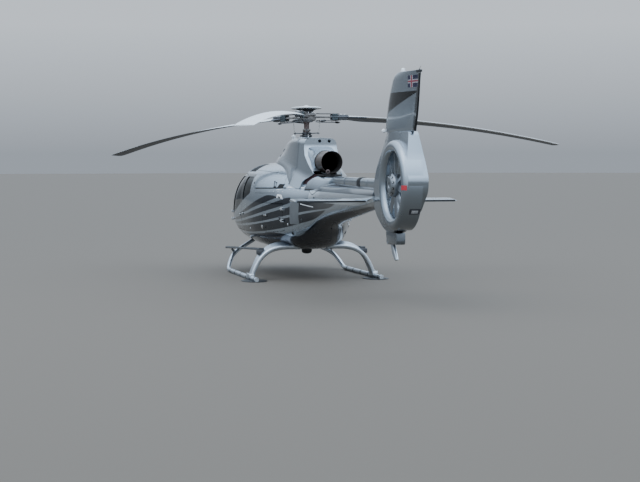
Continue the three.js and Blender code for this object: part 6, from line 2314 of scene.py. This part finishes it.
# Console, panel, screens, stick, levers, pedals, carpet and the lining of the bulkhead
def buildCockpit():
    line = [(2.38, 0.8005), (2.76, 0.8005), (2.79, 1.1), (2.74, 1.42), (2.66, 1.42), (2.6, 1.17)]
    console = outlineBlock("console", raised(rounded(line, 0.02)), -0.15, 0.3)
    bevelEdges(console, 0.012, 3)
    panel = box("instrumentPanel", lift(2.645, -0.38, 1.15), lift(2.73, 0.38, 1.425), 0.016, 3)
    hood = outlineBlock("glareShield", rounded([(2.6, -0.385), (2.74, -0.37), (2.74, 0.37), (2.6, 0.385)], 0.03),
        1.424 + ground, 0.014, "flat")
    bevelEdges(hood, 0.005)
    fit(smooth(joined("instrumentConsole", [console, panel, hood])), plastic, "instrument_console")
    rims, faces, knobs = [], [], []
    for y in (-0.135, 0.135):
        rims.append(box("rim", lift(2.637, y - 0.115, 1.19), lift(2.647, y + 0.115, 1.37), 0.004, 2))
        faces.append(box("face", lift(2.6355, y - 0.1, 1.205), lift(2.6385, y + 0.1, 1.355), 0.001, 1))
        for k in range(5):
            spot = Vector(lift(2.64, y - 0.08 + 0.04 * k, 1.181))
            knobs.append(bar("knob", spot, spot - Vector((0.012, 0, 0)), 0.006, sides=16, bevel=0.001))
    for y, z in ((-0.315, 1.33), (-0.315, 1.24), (0.315, 1.33), (0.315, 1.24), (0, 1.37)):
        spot = Vector(lift(2.648, y, z))
        rims.append(bar("gaugeRim", spot, spot - Vector((0.01, 0, 0)), 0.036 if y else 0.02, sides=32, bevel=0.003))
        faces.append(bar("gaugeFace", spot - Vector((0.009, 0, 0)), spot - Vector((0.0115, 0, 0)),
            0.03 if y else 0.016, sides=32))
    for row in range(4):
        for y in (-0.08, 0.08):
            x, z = 2.425 + 0.045 * row, 0.86 + 0.085 * row
            rims.append(box("switchPanel", lift(x, y - 0.06, z), lift(x + 0.02, y + 0.06, z + 0.07), 0.004, 2))
            for k in range(4):
                spot = Vector(lift(x + 0.002, y - 0.045 + 0.03 * k, z + 0.035))
                knobs.append(bar("switch", spot, spot + Vector((-0.014, 0, 0.004)), 0.004, sides=12, bevel=0.001))
    fit(smooth(joined("panelRims", rims)), cabinTrim, slot="black_parts")
    fit(smooth(joined("panelScreens", faces)), screenGlass)
    fit(smooth(joined("panelKnobs", knobs)), rotorSteel, slot="black_parts")
    base = spun("stickBoot", [(0.05, 0.8005), (0.048, 0.808), (0.036, 0.812), (0.034, 0.822), (0.026, 0.826),
        (0.024, 0.84), (0.017, 0.846), (0.0005, 0.846)], (2.21, -0.4, ground), (0, 0, 1), 32)
    stick = tube("stickTube", [lift(2.21, -0.4, 0.83), lift(2.2, -0.4, 1), lift(2.18, -0.4, 1.21)], 0.014, 20, 16)
    grip = swept("stickGrip", curvePoints([lift(2.18, -0.4, 1.19), lift(2.178, -0.4, 1.25), lift(2.172, -0.4, 1.31),
        lift(2.165, -0.4, 1.335)], 14), circle(0.02, 20, 0.024), (1, 0, 0),
            [0.8, 0.95, 1, 1, 0.95, 0.92, 0.9, 0.92, 0.98, 1.05, 1.1, 1.05, 0.9, 0.6])
    button = bar("gripButton", lift(2.158, -0.4, 1.31), lift(2.145, -0.4, 1.315), 0.006, sides=16, bevel=0.001)
    fit(smooth(joined("cyclicStick", [base, stick, grip, button])), rubber, "cyclic_stick")
    levers = []
    for y in (-0.155, 0.665):
        spots = [(1.62, y, 0.86), (1.8, y, 0.93), (2.02, y, 1.06)]
        levers.append(tube("collective", [lift(a, b, c) for a, b, c in spots], 0.013, 16, 16))
        levers.append(tube("collectiveGrip", [lift(1.96, y, 1.022), lift(2.06, y, 1.088), lift(2.12, y, 1.135)],
            0.02, 10, 18))
        levers.append(box("collectiveFoot", lift(1.57, y - 0.025, 0.8005), lift(1.67, y + 0.025, 0.875), 0.008, 2))
    fit(smooth(joined("collectiveLevers", levers)), plastic)
    pedals = []
    for y in (-0.49, -0.31, 0.31, 0.49):
        pedals.append(tube("pedalArm", [lift(2.55, y, 0.81), lift(2.53, y, 0.88), lift(2.5, y, 0.94)], 0.01, 10, 14))
        plate = box("pedalPlate", (-0.006, -0.04, -0.055), (0.006, 0.04, 0.055), 0.004, 2)
        pedals.append(moved(plate, leanMatrix(2.49, y, 0.955, -20)))
    fit(smooth(joined("pedals", pedals)), castMetal)
    mat = keepIn(hullBody("cabinCarpet", 0.05, 0, 2.95), boxTool(0.16, 2.5, -1.1, 1.1, 0.8004, 0.807))
    cut(mat, bar("hole", lift(2.21, -0.4, 0.7), lift(2.21, -0.4, 0.9), 0.052, sides=32))
    fit(smooth(mat), carpet)
    wallLining = keepIn(hullBody("bulkheadLining", 0.047, -0.1, 0.6), boxTool(0.1506, 0.157, -1.1, 1.1, 0.81, 2.12))
    fit(smooth(wallLining), headliner)


buildCockpit()
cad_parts["engine_block"].data.materials[0] = castMetal
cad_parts["main_gearbox"].data.materials[0] = castMetal
print("cockpit made")
